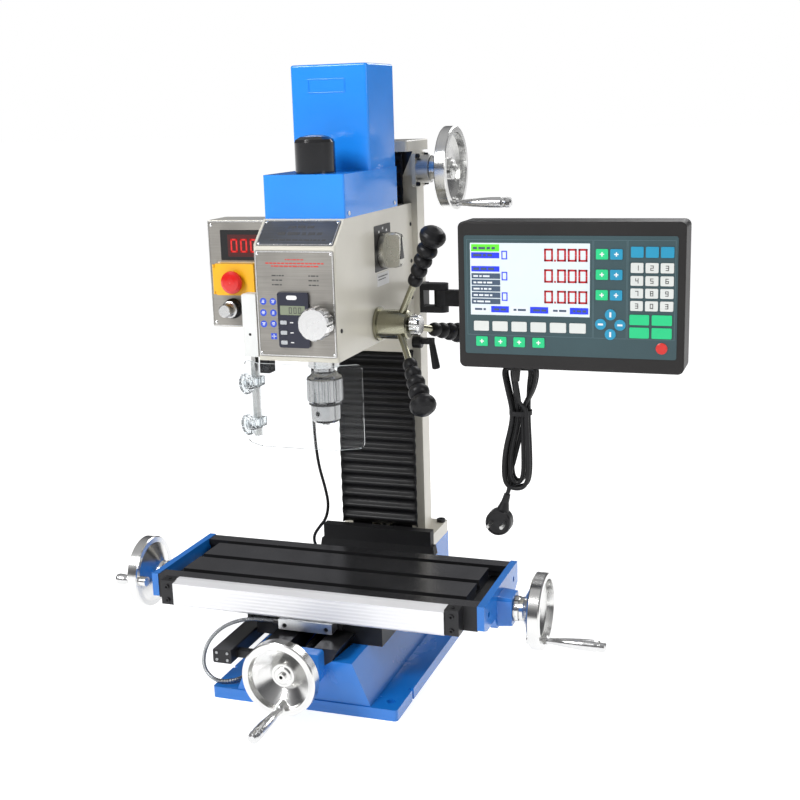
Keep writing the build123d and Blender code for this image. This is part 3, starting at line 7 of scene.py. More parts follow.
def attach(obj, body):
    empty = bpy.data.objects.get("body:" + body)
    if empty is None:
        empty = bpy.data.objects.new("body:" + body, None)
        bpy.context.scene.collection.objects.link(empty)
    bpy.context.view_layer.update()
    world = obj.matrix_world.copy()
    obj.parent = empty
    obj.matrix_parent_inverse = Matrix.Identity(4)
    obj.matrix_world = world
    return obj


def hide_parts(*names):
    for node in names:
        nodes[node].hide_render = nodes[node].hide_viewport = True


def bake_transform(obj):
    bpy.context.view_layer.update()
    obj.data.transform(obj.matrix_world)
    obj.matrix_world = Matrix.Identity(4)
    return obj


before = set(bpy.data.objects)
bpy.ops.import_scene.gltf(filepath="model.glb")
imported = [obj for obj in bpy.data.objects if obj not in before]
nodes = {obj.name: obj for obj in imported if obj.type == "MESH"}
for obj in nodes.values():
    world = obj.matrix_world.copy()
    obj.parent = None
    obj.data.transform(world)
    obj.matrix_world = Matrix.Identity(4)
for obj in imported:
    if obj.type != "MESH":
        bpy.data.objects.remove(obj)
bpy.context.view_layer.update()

# ---- Base casting
# A grey-iron foot and tapered body, sprayed with gloss blue machine enamel over a lightly filled casting.
# Its dovetail ways are milled and scraped bare on top, so they show dark oiled iron.


def sockets(group, names, side):
    """Adds named sockets to a node group: (name, kind, value)."""
    for name, kind, value in names:
        socket = group.interface.new_socket(name=name, in_out=side, socket_type=kind)
        if value is not None:
            socket.default_value = value


def skin_group():
    """Slow and fine unevenness of a cast, sprayed or moulded surface."""
    group = bpy.data.node_groups.new("Surface Skin", "ShaderNodeTree")
    sockets(group, [
        ("Colour", "NodeSocketColor", (0.5, 0.5, 0.5, 1)), ("Shade Spread", "NodeSocketFloat", 0.06),
        ("Roughness", "NodeSocketFloat", 0.4), ("Roughness Spread", "NodeSocketFloat", 0.08),
        ("Grain Size", "NodeSocketFloat", 900.0), ("Relief", "NodeSocketFloat", 0.05),
    ], "INPUT")
    sockets(group, [
        ("Colour", "NodeSocketColor", None), ("Roughness", "NodeSocketFloat", None),
        ("Normal", "NodeSocketVector", None),
    ], "OUTPUT")
    n, link = group.nodes, group.links.new
    into, out = n.new("NodeGroupInput"), n.new("NodeGroupOutput")
    place = n.new("ShaderNodeTexCoord")
    slow, fine = n.new("ShaderNodeTexNoise"), n.new("ShaderNodeTexNoise")
    slow.inputs["Scale"].default_value = 14
    slow.inputs["Detail"].default_value = 4
    fine.inputs["Detail"].default_value = 3
    link(place.outputs["Object"], slow.inputs["Vector"])
    link(place.outputs["Object"], fine.inputs["Vector"])
    link(into.outputs["Grain Size"], fine.inputs["Scale"])
    shade = n.new("ShaderNodeMath")
    shade.operation = "MULTIPLY_ADD"
    centred = n.new("ShaderNodeMath")
    centred.operation = "SUBTRACT"
    centred.inputs[1].default_value = 0.5
    link(slow.outputs["Fac"], centred.inputs[0])
    link(centred.outputs[0], shade.inputs[0])
    double = n.new("ShaderNodeMath")
    double.operation = "MULTIPLY"
    double.inputs[1].default_value = 3.0
    link(into.outputs["Shade Spread"], double.inputs[0])
    link(double.outputs[0], shade.inputs[1])
    shade.inputs[2].default_value = 1.0
    tint = n.new("ShaderNodeMix")
    tint.data_type = "RGBA"
    tint.blend_type = "MULTIPLY"
    tint.inputs["Factor"].default_value = 1.0
    link(into.outputs["Colour"], tint.inputs["A"])
    link(shade.outputs[0], tint.inputs["B"])
    link(tint.outputs["Result"], out.inputs["Colour"])
    rough = n.new("ShaderNodeMath")
    rough.operation = "MULTIPLY_ADD"
    fine_centred = n.new("ShaderNodeMath")
    fine_centred.operation = "SUBTRACT"
    fine_centred.inputs[1].default_value = 0.5
    link(slow.outputs["Fac"], fine_centred.inputs[0])
    link(fine_centred.outputs[0], rough.inputs[0])
    link(into.outputs["Roughness Spread"], rough.inputs[1])
    link(into.outputs["Roughness"], rough.inputs[2])
    link(rough.outputs[0], out.inputs["Roughness"])
    bump = n.new("ShaderNodeBump")
    bump.inputs["Distance"].default_value = 0.0004
    link(into.outputs["Relief"], bump.inputs["Strength"])
    link(fine.outputs["Fac"], bump.inputs["Height"])
    link(bump.outputs["Normal"], out.inputs["Normal"])
    return group


surface_skin = skin_group()


def coated(name, colour, roughness, spread=0.06, grain=900.0, relief=0.05, metallic=0.0, coat=0.0):
    """A painted, moulded or cast finish."""
    material = bpy.data.materials.new(name)
    material.use_nodes = True
    shader = material.node_tree.nodes["Principled BSDF"]
    skin = material.node_tree.nodes.new("ShaderNodeGroup")
    skin.node_tree = surface_skin
    skin.inputs["Colour"].default_value = (*colour, 1)
    skin.inputs["Shade Spread"].default_value = spread
    skin.inputs["Roughness"].default_value = roughness
    skin.inputs["Grain Size"].default_value = grain
    skin.inputs["Relief"].default_value = relief
    material.node_tree.links.new(skin.outputs["Colour"], shader.inputs["Base Color"])
    material.node_tree.links.new(skin.outputs["Roughness"], shader.inputs["Roughness"])
    material.node_tree.links.new(skin.outputs["Normal"], shader.inputs["Normal"])
    shader.inputs["Metallic"].default_value = metallic
    shader.inputs["Coat Weight"].default_value = coat
    shader.inputs["Coat Roughness"].default_value = 0.12
    if max(colour) < 0.03 and metallic == 0:
        shader.inputs["Specular IOR Level"].default_value = 0.22
    material.diffuse_color = (*colour, 1)
    return material


def dress(name, materials, pick=None, bevel=0.0):
    """Gives a casting its finishes: pick returns the finish number from a face's centre in millimetres."""
    piece = nodes[name]
    piece.data.materials.clear()
    for material in materials:
        piece.data.materials.append(material)
    for face in piece.data.polygons:
        face.material_index = pick(face.center * 1000, face.normal) if pick else 0
    if bevel:
        edge = piece.modifiers.new("Broken edges", "BEVEL")
        edge.width = bevel / 1000
        edge.segments = 2
        edge.limit_method = "ANGLE"
        edge.angle_limit = math.radians(50)
        edge.harden_normals = False
    return piece


enamel_blue = coated("Enamel blue", (0.008, 0.16, 0.56), 0.26, 0.10, 700, 0.10, 0.0, 0.35)
oiled_iron = coated("Oiled iron", (0.055, 0.055, 0.06), 0.30, 0.25, 1600, 0.10, 0.85)
dress(
    "base_casting", [enamel_blue, oiled_iron],
    lambda c, n: 1 if c.z > 74.5 and abs(c.x) < 57 and c.y < 90 else 0, 0.8,
)

# ---- Column and its bellows foot
# The column is a cream-sprayed casting with a bolted foot and a chamfered lid.
# A moulded black rubber block seals its front against chips.
enamel_cream = coated("Enamel cream", (0.60, 0.575, 0.50), 0.30, 0.07, 800, 0.10, 0.0, 0.3)
black_rubber = coated("Black rubber", (0.012, 0.012, 0.013), 0.55, 0.30, 1200, 0.20)
dress(
    "column", [enamel_cream, oiled_iron],
    lambda c, n: 1 if c.y < 136.9 and 143 < c.z < 736 and abs(c.x) < 51 else 0, 0.8,
)
dress("bellows_foot", [black_rubber], None, 0.8)

# ---- Bellows
# Coated black fabric folded into even pleats and welded at both sides, gripped by the head and by the column.
# On the machine the lower one opens and closes as the head travels, and so does the short one above the head; here both
# are drawn as fixed sheets at one length.
bellows_cloth = coated("Bellows cloth", (0.010, 0.010, 0.011), 0.42, 0.35, 2600, 0.35, 0.0, 0.05)


def bellows(name, half_width, low, high, pleats, front=107.8, depth=9.0):
    """Pleated sheet whose ridges pinch flat at both welded sides."""
    shares = [-1, -0.985, -0.94, -0.90, -0.6, -0.2, 0.2, 0.6, 0.90, 0.94, 0.985, 1]
    rows = []
    mesh = bmesh.new()
    steps = pleats * 6
    for row in range(steps + 1):
        phase = (row % 6) / 6
        ridge = abs(2 * phase - 1)
        ridge = ridge ** 0.8
        line = []
        for share in shares:
            pinch = min(1.0, (1 - abs(share)) / 0.08)
            y = front + depth * ridge * pinch + (1 - pinch) * 1.2
            height = low + (high - low) * row / steps
            line.append(mesh.verts.new((share * half_width / 1000, y / 1000, height / 1000)))
        rows.append(line)
    for upper, lower in zip(rows[1:], rows[:-1]):
        for k in range(len(shares) - 1):
            mesh.faces.new((lower[k], lower[k + 1], upper[k + 1], upper[k]))
    data = bpy.data.meshes.new(name)
    mesh.to_mesh(data)
    mesh.free()
    piece = bpy.data.objects.new(name, data)
    bpy.context.scene.collection.objects.link(piece)
    for face in data.polygons:
        face.use_smooth = True
    data.materials.append(bellows_cloth)
    wall = piece.modifiers.new("Cloth", "SOLIDIFY")
    wall.thickness = 0.0014
    wall.offset = -1
    return piece


lower_sheet = bellows("lower_bellows_cloth", 62, 160.2, 441.7, 15)
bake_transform(lower_sheet)
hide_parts("lower_bellows")
upper_sheet = bellows("upper_bellows_cloth", 53, 661.3, 736.8, 4)
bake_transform(upper_sheet)
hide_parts("upper_bellows")

# ---- Saddle, nuts and bearings
# The saddle is oil-blackened iron, ground where it slides. The cross-feed bearing is painted with the base,
# the elevating bearing is bare machined steel, and both nuts are turned bronze.


def turned_group():
    """Fine concentric tool marks round an axis, as a lathe leaves them."""
    group = bpy.data.node_groups.new("Turning Marks", "ShaderNodeTree")
    sockets(group, [
        ("Centre", "NodeSocketVector", (0, 0, 0)), ("Axis", "NodeSocketVector", (1, 0, 0)),
        ("Colour", "NodeSocketColor", (0.7, 0.7, 0.7, 1)), ("Roughness", "NodeSocketFloat", 0.2),
        ("Marks per Metre", "NodeSocketFloat", 1800.0), ("Relief", "NodeSocketFloat", 0.15),
    ], "INPUT")
    sockets(group, [
        ("Colour", "NodeSocketColor", None), ("Roughness", "NodeSocketFloat", None),
        ("Normal", "NodeSocketVector", None),
    ], "OUTPUT")
    n, link = group.nodes, group.links.new
    into, out = n.new("NodeGroupInput"), n.new("NodeGroupOutput")
    place = n.new("ShaderNodeTexCoord")
    arm = n.new("ShaderNodeVectorMath")
    arm.operation = "SUBTRACT"
    link(place.outputs["Object"], arm.inputs[0])
    link(into.outputs["Centre"], arm.inputs[1])
    across = n.new("ShaderNodeVectorMath")
    across.operation = "CROSS_PRODUCT"
    link(arm.outputs[0], across.inputs[0])
    link(into.outputs["Axis"], across.inputs[1])
    reach = n.new("ShaderNodeVectorMath")
    reach.operation = "LENGTH"
    link(across.outputs[0], reach.inputs[0])
    along = n.new("ShaderNodeVectorMath")
    along.operation = "DOT_PRODUCT"
    link(arm.outputs[0], along.inputs[0])
    link(into.outputs["Axis"], along.inputs[1])
    pair = n.new("ShaderNodeCombineXYZ")
    link(reach.outputs["Value"], pair.inputs["X"])
    link(along.outputs["Value"], pair.inputs["Y"])
    marks = n.new("ShaderNodeTexNoise")
    marks.inputs["Detail"].default_value = 2
    link(pair.outputs[0], marks.inputs["Vector"])
    link(into.outputs["Marks per Metre"], marks.inputs["Scale"])
    cloud = n.new("ShaderNodeTexNoise")
    cloud.inputs["Scale"].default_value = 40
    link(place.outputs["Object"], cloud.inputs["Vector"])
    shade = n.new("ShaderNodeMapRange")
    shade.inputs["To Min"].default_value = 0.86
    shade.inputs["To Max"].default_value = 1.10
    link(marks.outputs["Fac"], shade.inputs["Value"])
    tint = n.new("ShaderNodeMix")
    tint.data_type = "RGBA"
    tint.blend_type = "MULTIPLY"
    tint.inputs["Factor"].default_value = 1.0
    link(into.outputs["Colour"], tint.inputs["A"])
    link(shade.outputs[0], tint.inputs["B"])
    link(tint.outputs["Result"], out.inputs["Colour"])
    rough = n.new("ShaderNodeMath")
    rough.operation = "MULTIPLY_ADD"
    rough.inputs[1].default_value = 0.10
    link(cloud.outputs["Fac"], rough.inputs[0])
    link(into.outputs["Roughness"], rough.inputs[2])
    link(rough.outputs[0], out.inputs["Roughness"])
    bump = n.new("ShaderNodeBump")
    bump.inputs["Distance"].default_value = 0.0001
    link(into.outputs["Relief"], bump.inputs["Strength"])
    link(marks.outputs["Fac"], bump.inputs["Height"])
    link(bump.outputs["Normal"], out.inputs["Normal"])
    return group


turning_marks = turned_group()


def turned(name, colour, roughness, centre=(0, 0, 0), axis=(1, 0, 0), marks=1800.0, relief=0.15):
    """Bare metal from the lathe; centre in millimetres."""
    material = bpy.data.materials.new(name)
    material.use_nodes = True
    shader = material.node_tree.nodes["Principled BSDF"]
    lathe = material.node_tree.nodes.new("ShaderNodeGroup")
    lathe.node_tree = turning_marks
    lathe.inputs["Centre"].default_value = [v / 1000 for v in centre]
    lathe.inputs["Axis"].default_value = axis
    lathe.inputs["Colour"].default_value = (*colour, 1)
    lathe.inputs["Roughness"].default_value = roughness
    lathe.inputs["Marks per Metre"].default_value = marks
    lathe.inputs["Relief"].default_value = relief
    material.node_tree.links.new(lathe.outputs["Colour"], shader.inputs["Base Color"])
    material.node_tree.links.new(lathe.outputs["Roughness"], shader.inputs["Roughness"])
    material.node_tree.links.new(lathe.outputs["Normal"], shader.inputs["Normal"])
    shader.inputs["Metallic"].default_value = 1.0
    material.diffuse_color = (*colour, 1)
    return material


blackened_iron = coated("Blackened iron", (0.022, 0.022, 0.024), 0.42, 0.25, 1000, 0.15, 0.5)
bronze = turned("Nut bronze", (0.55, 0.36, 0.14), 0.32)
bearing_steel = turned("Bearing steel", (0.50, 0.50, 0.49), 0.34, (0, 135, 711), (1, 0, 0))
dress("saddle_casting", [blackened_iron, oiled_iron], lambda c, n: 1 if c.z > 115 else 0, 0.8)
dress("feed_nuts", [bronze])
dress(
    "feed_bearings", [enamel_blue, enamel_cream, bearing_steel],
    lambda c, n: 0 if c.x < 50 else (1 if c.x < 72.1 else 2), 0.6,
)
dress("frame_fittings", [blackened_iron], None, 0.3)

# ---- Table
# Ground grey-iron table with three T-slots, dark with oil; its cast end plates are enamelled like the base.
ground_iron = coated("Ground iron", (0.15, 0.15, 0.158), 0.24, 0.22, 2200, 0.08, 0.9)
slot_iron = coated("Slot iron", (0.03, 0.03, 0.032), 0.45, 0.2, 1500, 0.15, 0.7)


def table_face(c, n):
    if c.z > 149.5 and n.z > 0.7:
        return 0
    return 1


dress("work_table", [ground_iron, slot_iron], table_face, 0.5)
dress("table_end_plates", [enamel_blue], None, 0.8)

# ---- Linear scales
# The table scale is a pale anodised aluminium extrusion with fine ribs, held by black end blocks with socket
# screws. The cross scale is the same kind in black, and both reading heads are blackened die castings.


def ribbed(name, colour, roughness, ribs, metallic):
    """Extruded aluminium with fine ribs along its length."""
    material = coated(name, colour, roughness, 0.03, 2500, 0.05, metallic)
    tree = material.node_tree
    place = tree.nodes.new("ShaderNodeTexCoord")
    split = tree.nodes.new("ShaderNodeSeparateXYZ")
    wave = tree.nodes.new("ShaderNodeMath")
    wave.operation = "MULTIPLY"
    wave.inputs[1].default_value = ribs
    sine = tree.nodes.new("ShaderNodeMath")
    sine.operation = "SINE"
    bump = tree.nodes.new("ShaderNodeBump")
    bump.inputs["Strength"].default_value = 0.35
    bump.inputs["Distance"].default_value = 0.0004
    tree.links.new(place.outputs["Object"], split.inputs[0])
    tree.links.new(split.outputs["Z"], wave.inputs[0])
    tree.links.new(wave.outputs[0], sine.inputs[0])
    tree.links.new(sine.outputs[0], bump.inputs["Height"])
    tree.links.new(bump.outputs["Normal"], tree.nodes["Principled BSDF"].inputs["Normal"])
    return material


pale_extrusion = ribbed("Pale extrusion", (0.80, 0.80, 0.82), 0.34, 1250.0, 0.25)
black_anodised = coated("Black anodised", (0.018, 0.018, 0.020), 0.36, 0.1, 1800, 0.08, 0.4)
zinc_plate = turned("Zinc plate", (0.62, 0.63, 0.64), 0.26, (0, -180, 105), (0, 1, 0), 300)
dress(
    "table_scale", [pale_extrusion, black_anodised],
    lambda c, n: 1 if c.x < -211.9 or c.x > 192.9 else 0, 0.4,
)
dress("cross_scale", [black_anodised], None, 0.4)
dress("scale_readers", [black_anodised, zinc_plate], lambda c, n: 1 if c.y < -160.1 and c.x > -47.1 else 0, 0.4)


def piece_from(name, mesh, material, body, smooth=True):
    """Turns a bmesh in metres into a piece that rides on a body."""
    bmesh.ops.recalc_face_normals(mesh, faces=mesh.faces)
    data = bpy.data.meshes.new(name)
    mesh.to_mesh(data)
    mesh.free()
    piece = bpy.data.objects.new(name, data)
    bpy.context.scene.collection.objects.link(piece)
    for face in data.polygons:
        face.use_smooth = smooth
    for one in material if isinstance(material, list) else [material]:
        data.materials.append(one)
    if smooth:
        data.set_sharp_from_angle(angle=math.radians(35))
    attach(piece, body)
    return piece


def lathe(mesh, origin, axis, profile, steps=24):
    """Adds a surface of revolution; profile is (radius, height) in millimetres along the axis."""
    axis = Vector(axis).normalized()
    side = axis.orthogonal().normalized()
    other = axis.cross(side)
    rings = []
    for radius, height in profile:
        ring = []
        for k in range(steps):
            angle = 2 * math.pi * (k + 0.5) / steps
            around = side * math.cos(angle) + other * math.sin(angle)
            point = Vector(origin) + axis * height + around * max(radius, 0.001)
            ring.append(mesh.verts.new(point / 1000))
        rings.append(ring)
    for a, b in zip(rings[:-1], rings[1:]):
        for k in range(steps):
            mesh.faces.new((a[k], a[(k + 1) % steps], b[(k + 1) % steps], b[k]))
    mesh.faces.new(list(reversed(rings[0])))
    mesh.faces.new(rings[-1])


def socket_screw(mesh, origin, axis, head=3.2, height=2.6):
    """Cap screw head with its hexagon socket."""
    lathe(mesh, origin, axis, [(head, 0), (head, height - 0.4), (head - 0.4, height), (head * 0.52, height)], 24)
    lathe(mesh, origin, axis, [(head * 0.52, height), (head * 0.50, height - 1.4), (0.2, height - 1.5)], 6)


table_scale_screws = bmesh.new()
for x in (-222, 203):
    for z in (121, 141):
        socket_screw(table_scale_screws, (x, -175, z), (0, -1, 0), 3.4)
    socket_screw(table_scale_screws, (x, -165, 150), (0, 0, 1), 2.4, 1.6)
piece_from("table_scale_screws", table_scale_screws, blackened_iron, "table")
reader_screws = bmesh.new()
for x in (-38, 24):
    socket_screw(reader_screws, (x, -177.2, 104), (0, -1, 0), 2.9, 2.0)
for x in (-96, -70):
    socket_screw(reader_screws, (x, -160, 104.5), (0, -1, 0), 3.0, 2.2)
piece_from("reader_screws", reader_screws, blackened_iron, "saddle")
cross_scale_screws = bmesh.new()
for x in (-119, -103):
    socket_screw(cross_scale_screws, (x, -230, 76), (0, -1, 0), 1.9, 1.4)
    socket_screw(cross_scale_screws, (x, -230, 66), (0, -1, 0), 1.9, 1.4)
piece_from("cross_scale_screws", cross_scale_screws, zinc_plate, "frame")

# ---- Feed screws, handwheels and grips
# Steel screws with graduated collars; the dished handwheels are cast, turned all over and polished.
# Each crank grip is a turned steel barrel that spins on its pin, with a slotted end.
x_turned = turned("Table feed steel", (0.72, 0.72, 0.71), 0.15, (0, -68, 117.5), (1, 0, 0), 2600, 0.25)
y_turned = turned("Cross feed steel", (0.72, 0.72, 0.71), 0.15, (0, 0, 76), (0, 1, 0), 2600, 0.25)
z_turned = turned("Elevating steel", (0.72, 0.72, 0.71), 0.15, (0, 135, 711), (1, 0, 0), 2600, 0.25)
screw_steel = turned("Screw steel", (0.45, 0.45, 0.45), 0.3, (0, 135, 0), (0, 0, 1), 2600, 0.25)
x_grip_steel = turned("Table grip steel", (0.66, 0.66, 0.66), 0.18, (0, -68, 74), (1, 0, 0), 1500, 0.2)
y_grip_steel = turned("Cross grip steel", (0.66, 0.66, 0.66), 0.18, (0, 0, 34.5), (0, 1, 0), 1500, 0.2)
z_grip_steel = turned("Elevating grip steel", (0.66, 0.66, 0.66), 0.18, (0, 135, 660), (1, 0, 0), 1500, 0.2)
dress("table_screw", [x_turned])
dress("table_handwheels", [x_turned])
dress("table_grip_right", [x_grip_steel])
dress("table_grip_left", [x_grip_steel])
dress("cross_feed_screw", [y_turned])
dress("cross_feed_handwheel", [y_turned])
dress("cross_feed_grip", [y_grip_steel])
dress("elevating_shaft", [z_turned])
dress("elevating_handwheel", [z_turned])
dress("elevating_grip", [z_grip_steel])
dress("elevating_screw", [screw_steel])
for name in ("table_handwheels", "cross_feed_handwheel", "elevating_handwheel"):
    nodes[name].data.set_sharp_from_angle(angle=math.radians(30))


def collar_marks(name, origin, axis, radius, length, body):
    """Engraved graduations round a feed collar, every tenth line long."""
    mesh = bmesh.new()
    axis = Vector(axis)
    side = axis.orthogonal().normalized()
    other = axis.cross(side)
    for k in range(60):
        angle = 2 * math.pi * k / 60
        out = side * math.cos(angle) + other * math.sin(angle)
        flank = axis.cross(out)
        reach = length if k % 10 == 0 else (length * 0.7 if k % 5 == 0 else length * 0.45)
        low = Vector(origin) + out * (radius + 0.06)
        half = flank * 0.17
        corners = [low - half, low + half, low + half + axis * reach, low - half + axis * reach]
        mesh.faces.new([mesh.verts.new(c / 1000) for c in corners])
    return piece_from(name, mesh, blackened_iron, body, False)


collar_marks("table_collar_marks_right", (263.9, -68, 117.5), (1, 0, 0), 18, 5.4, "table_screw")
collar_marks("table_collar_marks_left", (-277.9, -68, 117.5), (-1, 0, 0), 18, 5.4, "table_screw")
collar_marks("cross_collar_marks", (0, -244.9, 76), (0, -1, 0), 18, 5.4, "cross_screw")
collar_marks("elevating_collar_marks", (91.9, 135, 711), (1, 0, 0), 18, 8, "elevating_wheel")

wheel_screws = bmesh.new()
for x, way in ((292.0, 1), (-306.0, -1)):
    lathe(wheel_screws, (x, -68, 117.5), (way, 0, 0), [(12, 0), (12, 1.6), (11.2, 2.2), (5.5, 2.2)], 32)
    socket_screw(wheel_screws, (x + way * 2.2, -68, 117.5), (way, 0, 0), 5.2, 4)
piece_from("table_wheel_screws", wheel_screws, x_turned, "table_screw")
cross_wheel_screw = bmesh.new()
lathe(cross_wheel_screw, (0, -273.0, 76), (0, -1, 0), [(12, 0), (12, 1.6), (11.2, 2.2), (5.5, 2.2)], 32)
socket_screw(cross_wheel_screw, (0, -275.2, 76), (0, -1, 0), 5.2, 4)
piece_from("cross_wheel_screw", cross_wheel_screw, y_turned, "cross_screw")
elevating_wheel_screw = bmesh.new()
lathe(elevating_wheel_screw, (123.6, 135, 711), (1, 0, 0), [(12, 0), (12, 1.6), (11.2, 2.2), (5.5, 2.2)], 32)
socket_screw(elevating_wheel_screw, (125.8, 135, 711), (1, 0, 0), 5.2, 4)
piece_from("elevating_wheel_screw", elevating_wheel_screw, z_turned, "elevating_wheel")

# ---- Head casting and drive cover
# The head is a cream-sprayed casting. The stepped cover over the belt and motor is folded sheet steel in a
# brighter blue than the base, with a pressed name recess; a black gloss cap closes the drawbar hole.
cover_blue = coated("Cover blue", (0.010, 0.235, 0.80), 0.24, 0.08, 700, 0.08, 0.0, 0.35)
cap_black = coated("Cap black", (0.010, 0.010, 0.011), 0.16, 0.1, 900, 0.05, 0.0, 0.5)
motor_black = coated("Motor black", (0.02, 0.02, 0.022), 0.45, 0.2, 1200, 0.15)
belt_rubber = coated("Belt rubber", (0.015, 0.015, 0.015), 0.6, 0.3, 1400, 0.25)
pulley_metal = turned("Pulley metal", (0.55, 0.56, 0.57), 0.3, (0, -89, 0), (0, 0, 1), 1500, 0.2)
motor_pulley_metal = turned("Motor pulley metal", (0.55, 0.56, 0.57), 0.3, (0, 21.5, 0), (0, 0, 1), 1500, 0.2)
dress("head_casting", [enamel_cream], None, 1.2)
dress("elevating_nut", [bronze])
dress("drive_cover", [cover_blue], None, 0.7)
dress("drawbar_cap", [cap_black], None, 0.5)
dress("spindle_motor", [motor_black])
dress("drive_belt", [belt_rubber])
dress("spindle_pulley", [pulley_metal])
dress("motor_pulley", [motor_pulley_metal])


def bar(mesh, low, high, plane=None):
    """Adds a box between two corners in millimetres, or in a plane's own (across, up, out) millimetres."""
    corners = []
    for a in (low[0], high[0]):
        for b in (low[1], high[1]):
            for c in (low[2], high[2]):
                point = Vector((a, b, c))
                if plane:
                    origin, across, up, out = plane
                    point = Vector(origin) + Vector(across) * a + Vector(up) * b + Vector(out) * c
                corners.append(mesh.verts.new(point / 1000))
    for face in ((0, 1, 3, 2), (4, 6, 7, 5), (0, 4, 5, 1), (2, 3, 7, 6), (0, 2, 6, 4), (1, 5, 7, 3)):
        mesh.faces.new([corners[k] for k in face])


def plate(mesh, plane, low, high, radius, bottom, top, steps=5):
    """Adds a flat plate with rounded corners in a plane, between two heights above it."""
    origin, across, up, out = [Vector(v) for v in plane]
    outline = []
    radius = max(min(radius, (high[0] - low[0]) / 2 - 0.001, (high[1] - low[1]) / 2 - 0.001), 0.01)
    centres = ((high[0] - radius, high[1] - radius, 0), (low[0] + radius, high[1] - radius, 90),
               (low[0] + radius, low[1] + radius, 180), (high[0] - radius, low[1] + radius, 270))
    for a, b, start in centres:
        for k in range(steps + 1):
            angle = math.radians(start + 90 * k / steps)
            outline.append((a + radius * math.cos(angle), b + radius * math.sin(angle)))
    rim = []
    for height in (bottom, top):
        rim.append([mesh.verts.new((origin + across * a + up * b + out * height) / 1000) for a, b in outline])
    count = len(outline)
    for k in range(count):
        mesh.faces.new((rim[0][k], rim[0][(k + 1) % count], rim[1][(k + 1) % count], rim[1][k]))
    mesh.faces.new(rim[1])
    mesh.faces.new(list(reversed(rim[0])))


def frame_of(mesh, plane, low, high, width, bottom, top):
    """Adds a rectangular rim of four mitred bars."""
    bar(mesh, (low[0], low[1], bottom), (high[0], low[1] + width, top), plane)
    bar(mesh, (low[0], high[1] - width, bottom), (high[0], high[1], top), plane)
    bar(mesh, (low[0], low[1] + width, bottom), (low[0] + width, high[1] - width, top), plane)
    bar(mesh, (high[0] - width, low[1] + width, bottom), (high[0], high[1] - width, top), plane)


tower_face = ((0, -32, 0), (1, 0, 0), (0, 0, 1), (0, -1, 0))
name_recess = bmesh.new()
frame_of(name_recess, tower_face, (-30, 822), (24, 841), 1.2, -0.2, 0.7)
name_recess_piece = piece_from("tower_name_recess", name_recess, cover_blue, "head", False)
soften = name_recess_piece.modifiers.new("Pressed edges", "BEVEL")
soften.width = 0.0004
soften.segments = 2
cover_screws = bmesh.new()
for y in (-120, 60):
    for way in (1, -1):
        lathe(cover_screws, (way * 57.4, y, 667), (way, 0, 0), [(3.0, 0), (3.0, 0.8), (2.2, 1.7), (0.4, 2.0)], 20)
piece_from("cover_screws", cover_screws, zinc_plate, "head")

# ---- Front panel and depth readout
# A brushed stainless panel in a raised rim, held by corner rivets, with printed notes and blue instruction
# discs. The battery readout for the quill has a grey display and three soft buttons in a black case.


def grain_group():
    """Long straight scratches of a linish belt."""
    group = bpy.data.node_groups.new("Brushed Grain", "ShaderNodeTree")
    sockets(group, [
        ("Colour", "NodeSocketColor", (0.6, 0.6, 0.6, 1)), ("Roughness", "NodeSocketFloat", 0.3),
        ("Stretch", "NodeSocketVector", (20, 2500, 2500)), ("Relief", "NodeSocketFloat", 0.1),
    ], "INPUT")
    sockets(group, [
        ("Colour", "NodeSocketColor", None), ("Roughness", "NodeSocketFloat", None),
        ("Normal", "NodeSocketVector", None),
    ], "OUTPUT")
    n, link = group.nodes, group.links.new
    into, out = n.new("NodeGroupInput"), n.new("NodeGroupOutput")
    place = n.new("ShaderNodeTexCoord")
    scale = n.new("ShaderNodeVectorMath")
    scale.operation = "MULTIPLY"
    link(place.outputs["Object"], scale.inputs[0])
    link(into.outputs["Stretch"], scale.inputs[1])
    scratch = n.new("ShaderNodeTexNoise")
    scratch.inputs["Scale"].default_value = 1.0
    scratch.inputs["Detail"].default_value = 3
    link(scale.outputs[0], scratch.inputs["Vector"])
    cloud = n.new("ShaderNodeTexNoise")
    cloud.inputs["Scale"].default_value = 22
    link(place.outputs["Object"], cloud.inputs["Vector"])
    blend = n.new("ShaderNodeMath")
    blend.operation = "MULTIPLY"
    link(scratch.outputs["Fac"], blend.inputs[0])
    link(cloud.outputs["Fac"], blend.inputs[1])
    shade = n.new("ShaderNodeMapRange")
    shade.inputs["From Min"].default_value = 0.1
    shade.inputs["From Max"].default_value = 0.4
    shade.inputs["To Min"].default_value = 0.78
    shade.inputs["To Max"].default_value = 1.12
    link(blend.outputs[0], shade.inputs["Value"])
    tint = n.new("ShaderNodeMix")
    tint.data_type = "RGBA"
    tint.blend_type = "MULTIPLY"
    tint.inputs["Factor"].default_value = 1.0
    link(into.outputs["Colour"], tint.inputs["A"])
    link(shade.outputs[0], tint.inputs["B"])
    link(tint.outputs["Result"], out.inputs["Colour"])
    rough = n.new("ShaderNodeMath")
    rough.operation = "MULTIPLY_ADD"
    rough.inputs[1].default_value = 0.15
    link(scratch.outputs["Fac"], rough.inputs[0])
    link(into.outputs["Roughness"], rough.inputs[2])
    link(rough.outputs[0], out.inputs["Roughness"])
    bump = n.new("ShaderNodeBump")
    bump.inputs["Distance"].default_value = 0.0001
    link(into.outputs["Relief"], bump.inputs["Strength"])
    link(scratch.outputs["Fac"], bump.inputs["Height"])
    link(bump.outputs["Normal"], out.inputs["Normal"])
    return group


brushed_grain = grain_group()


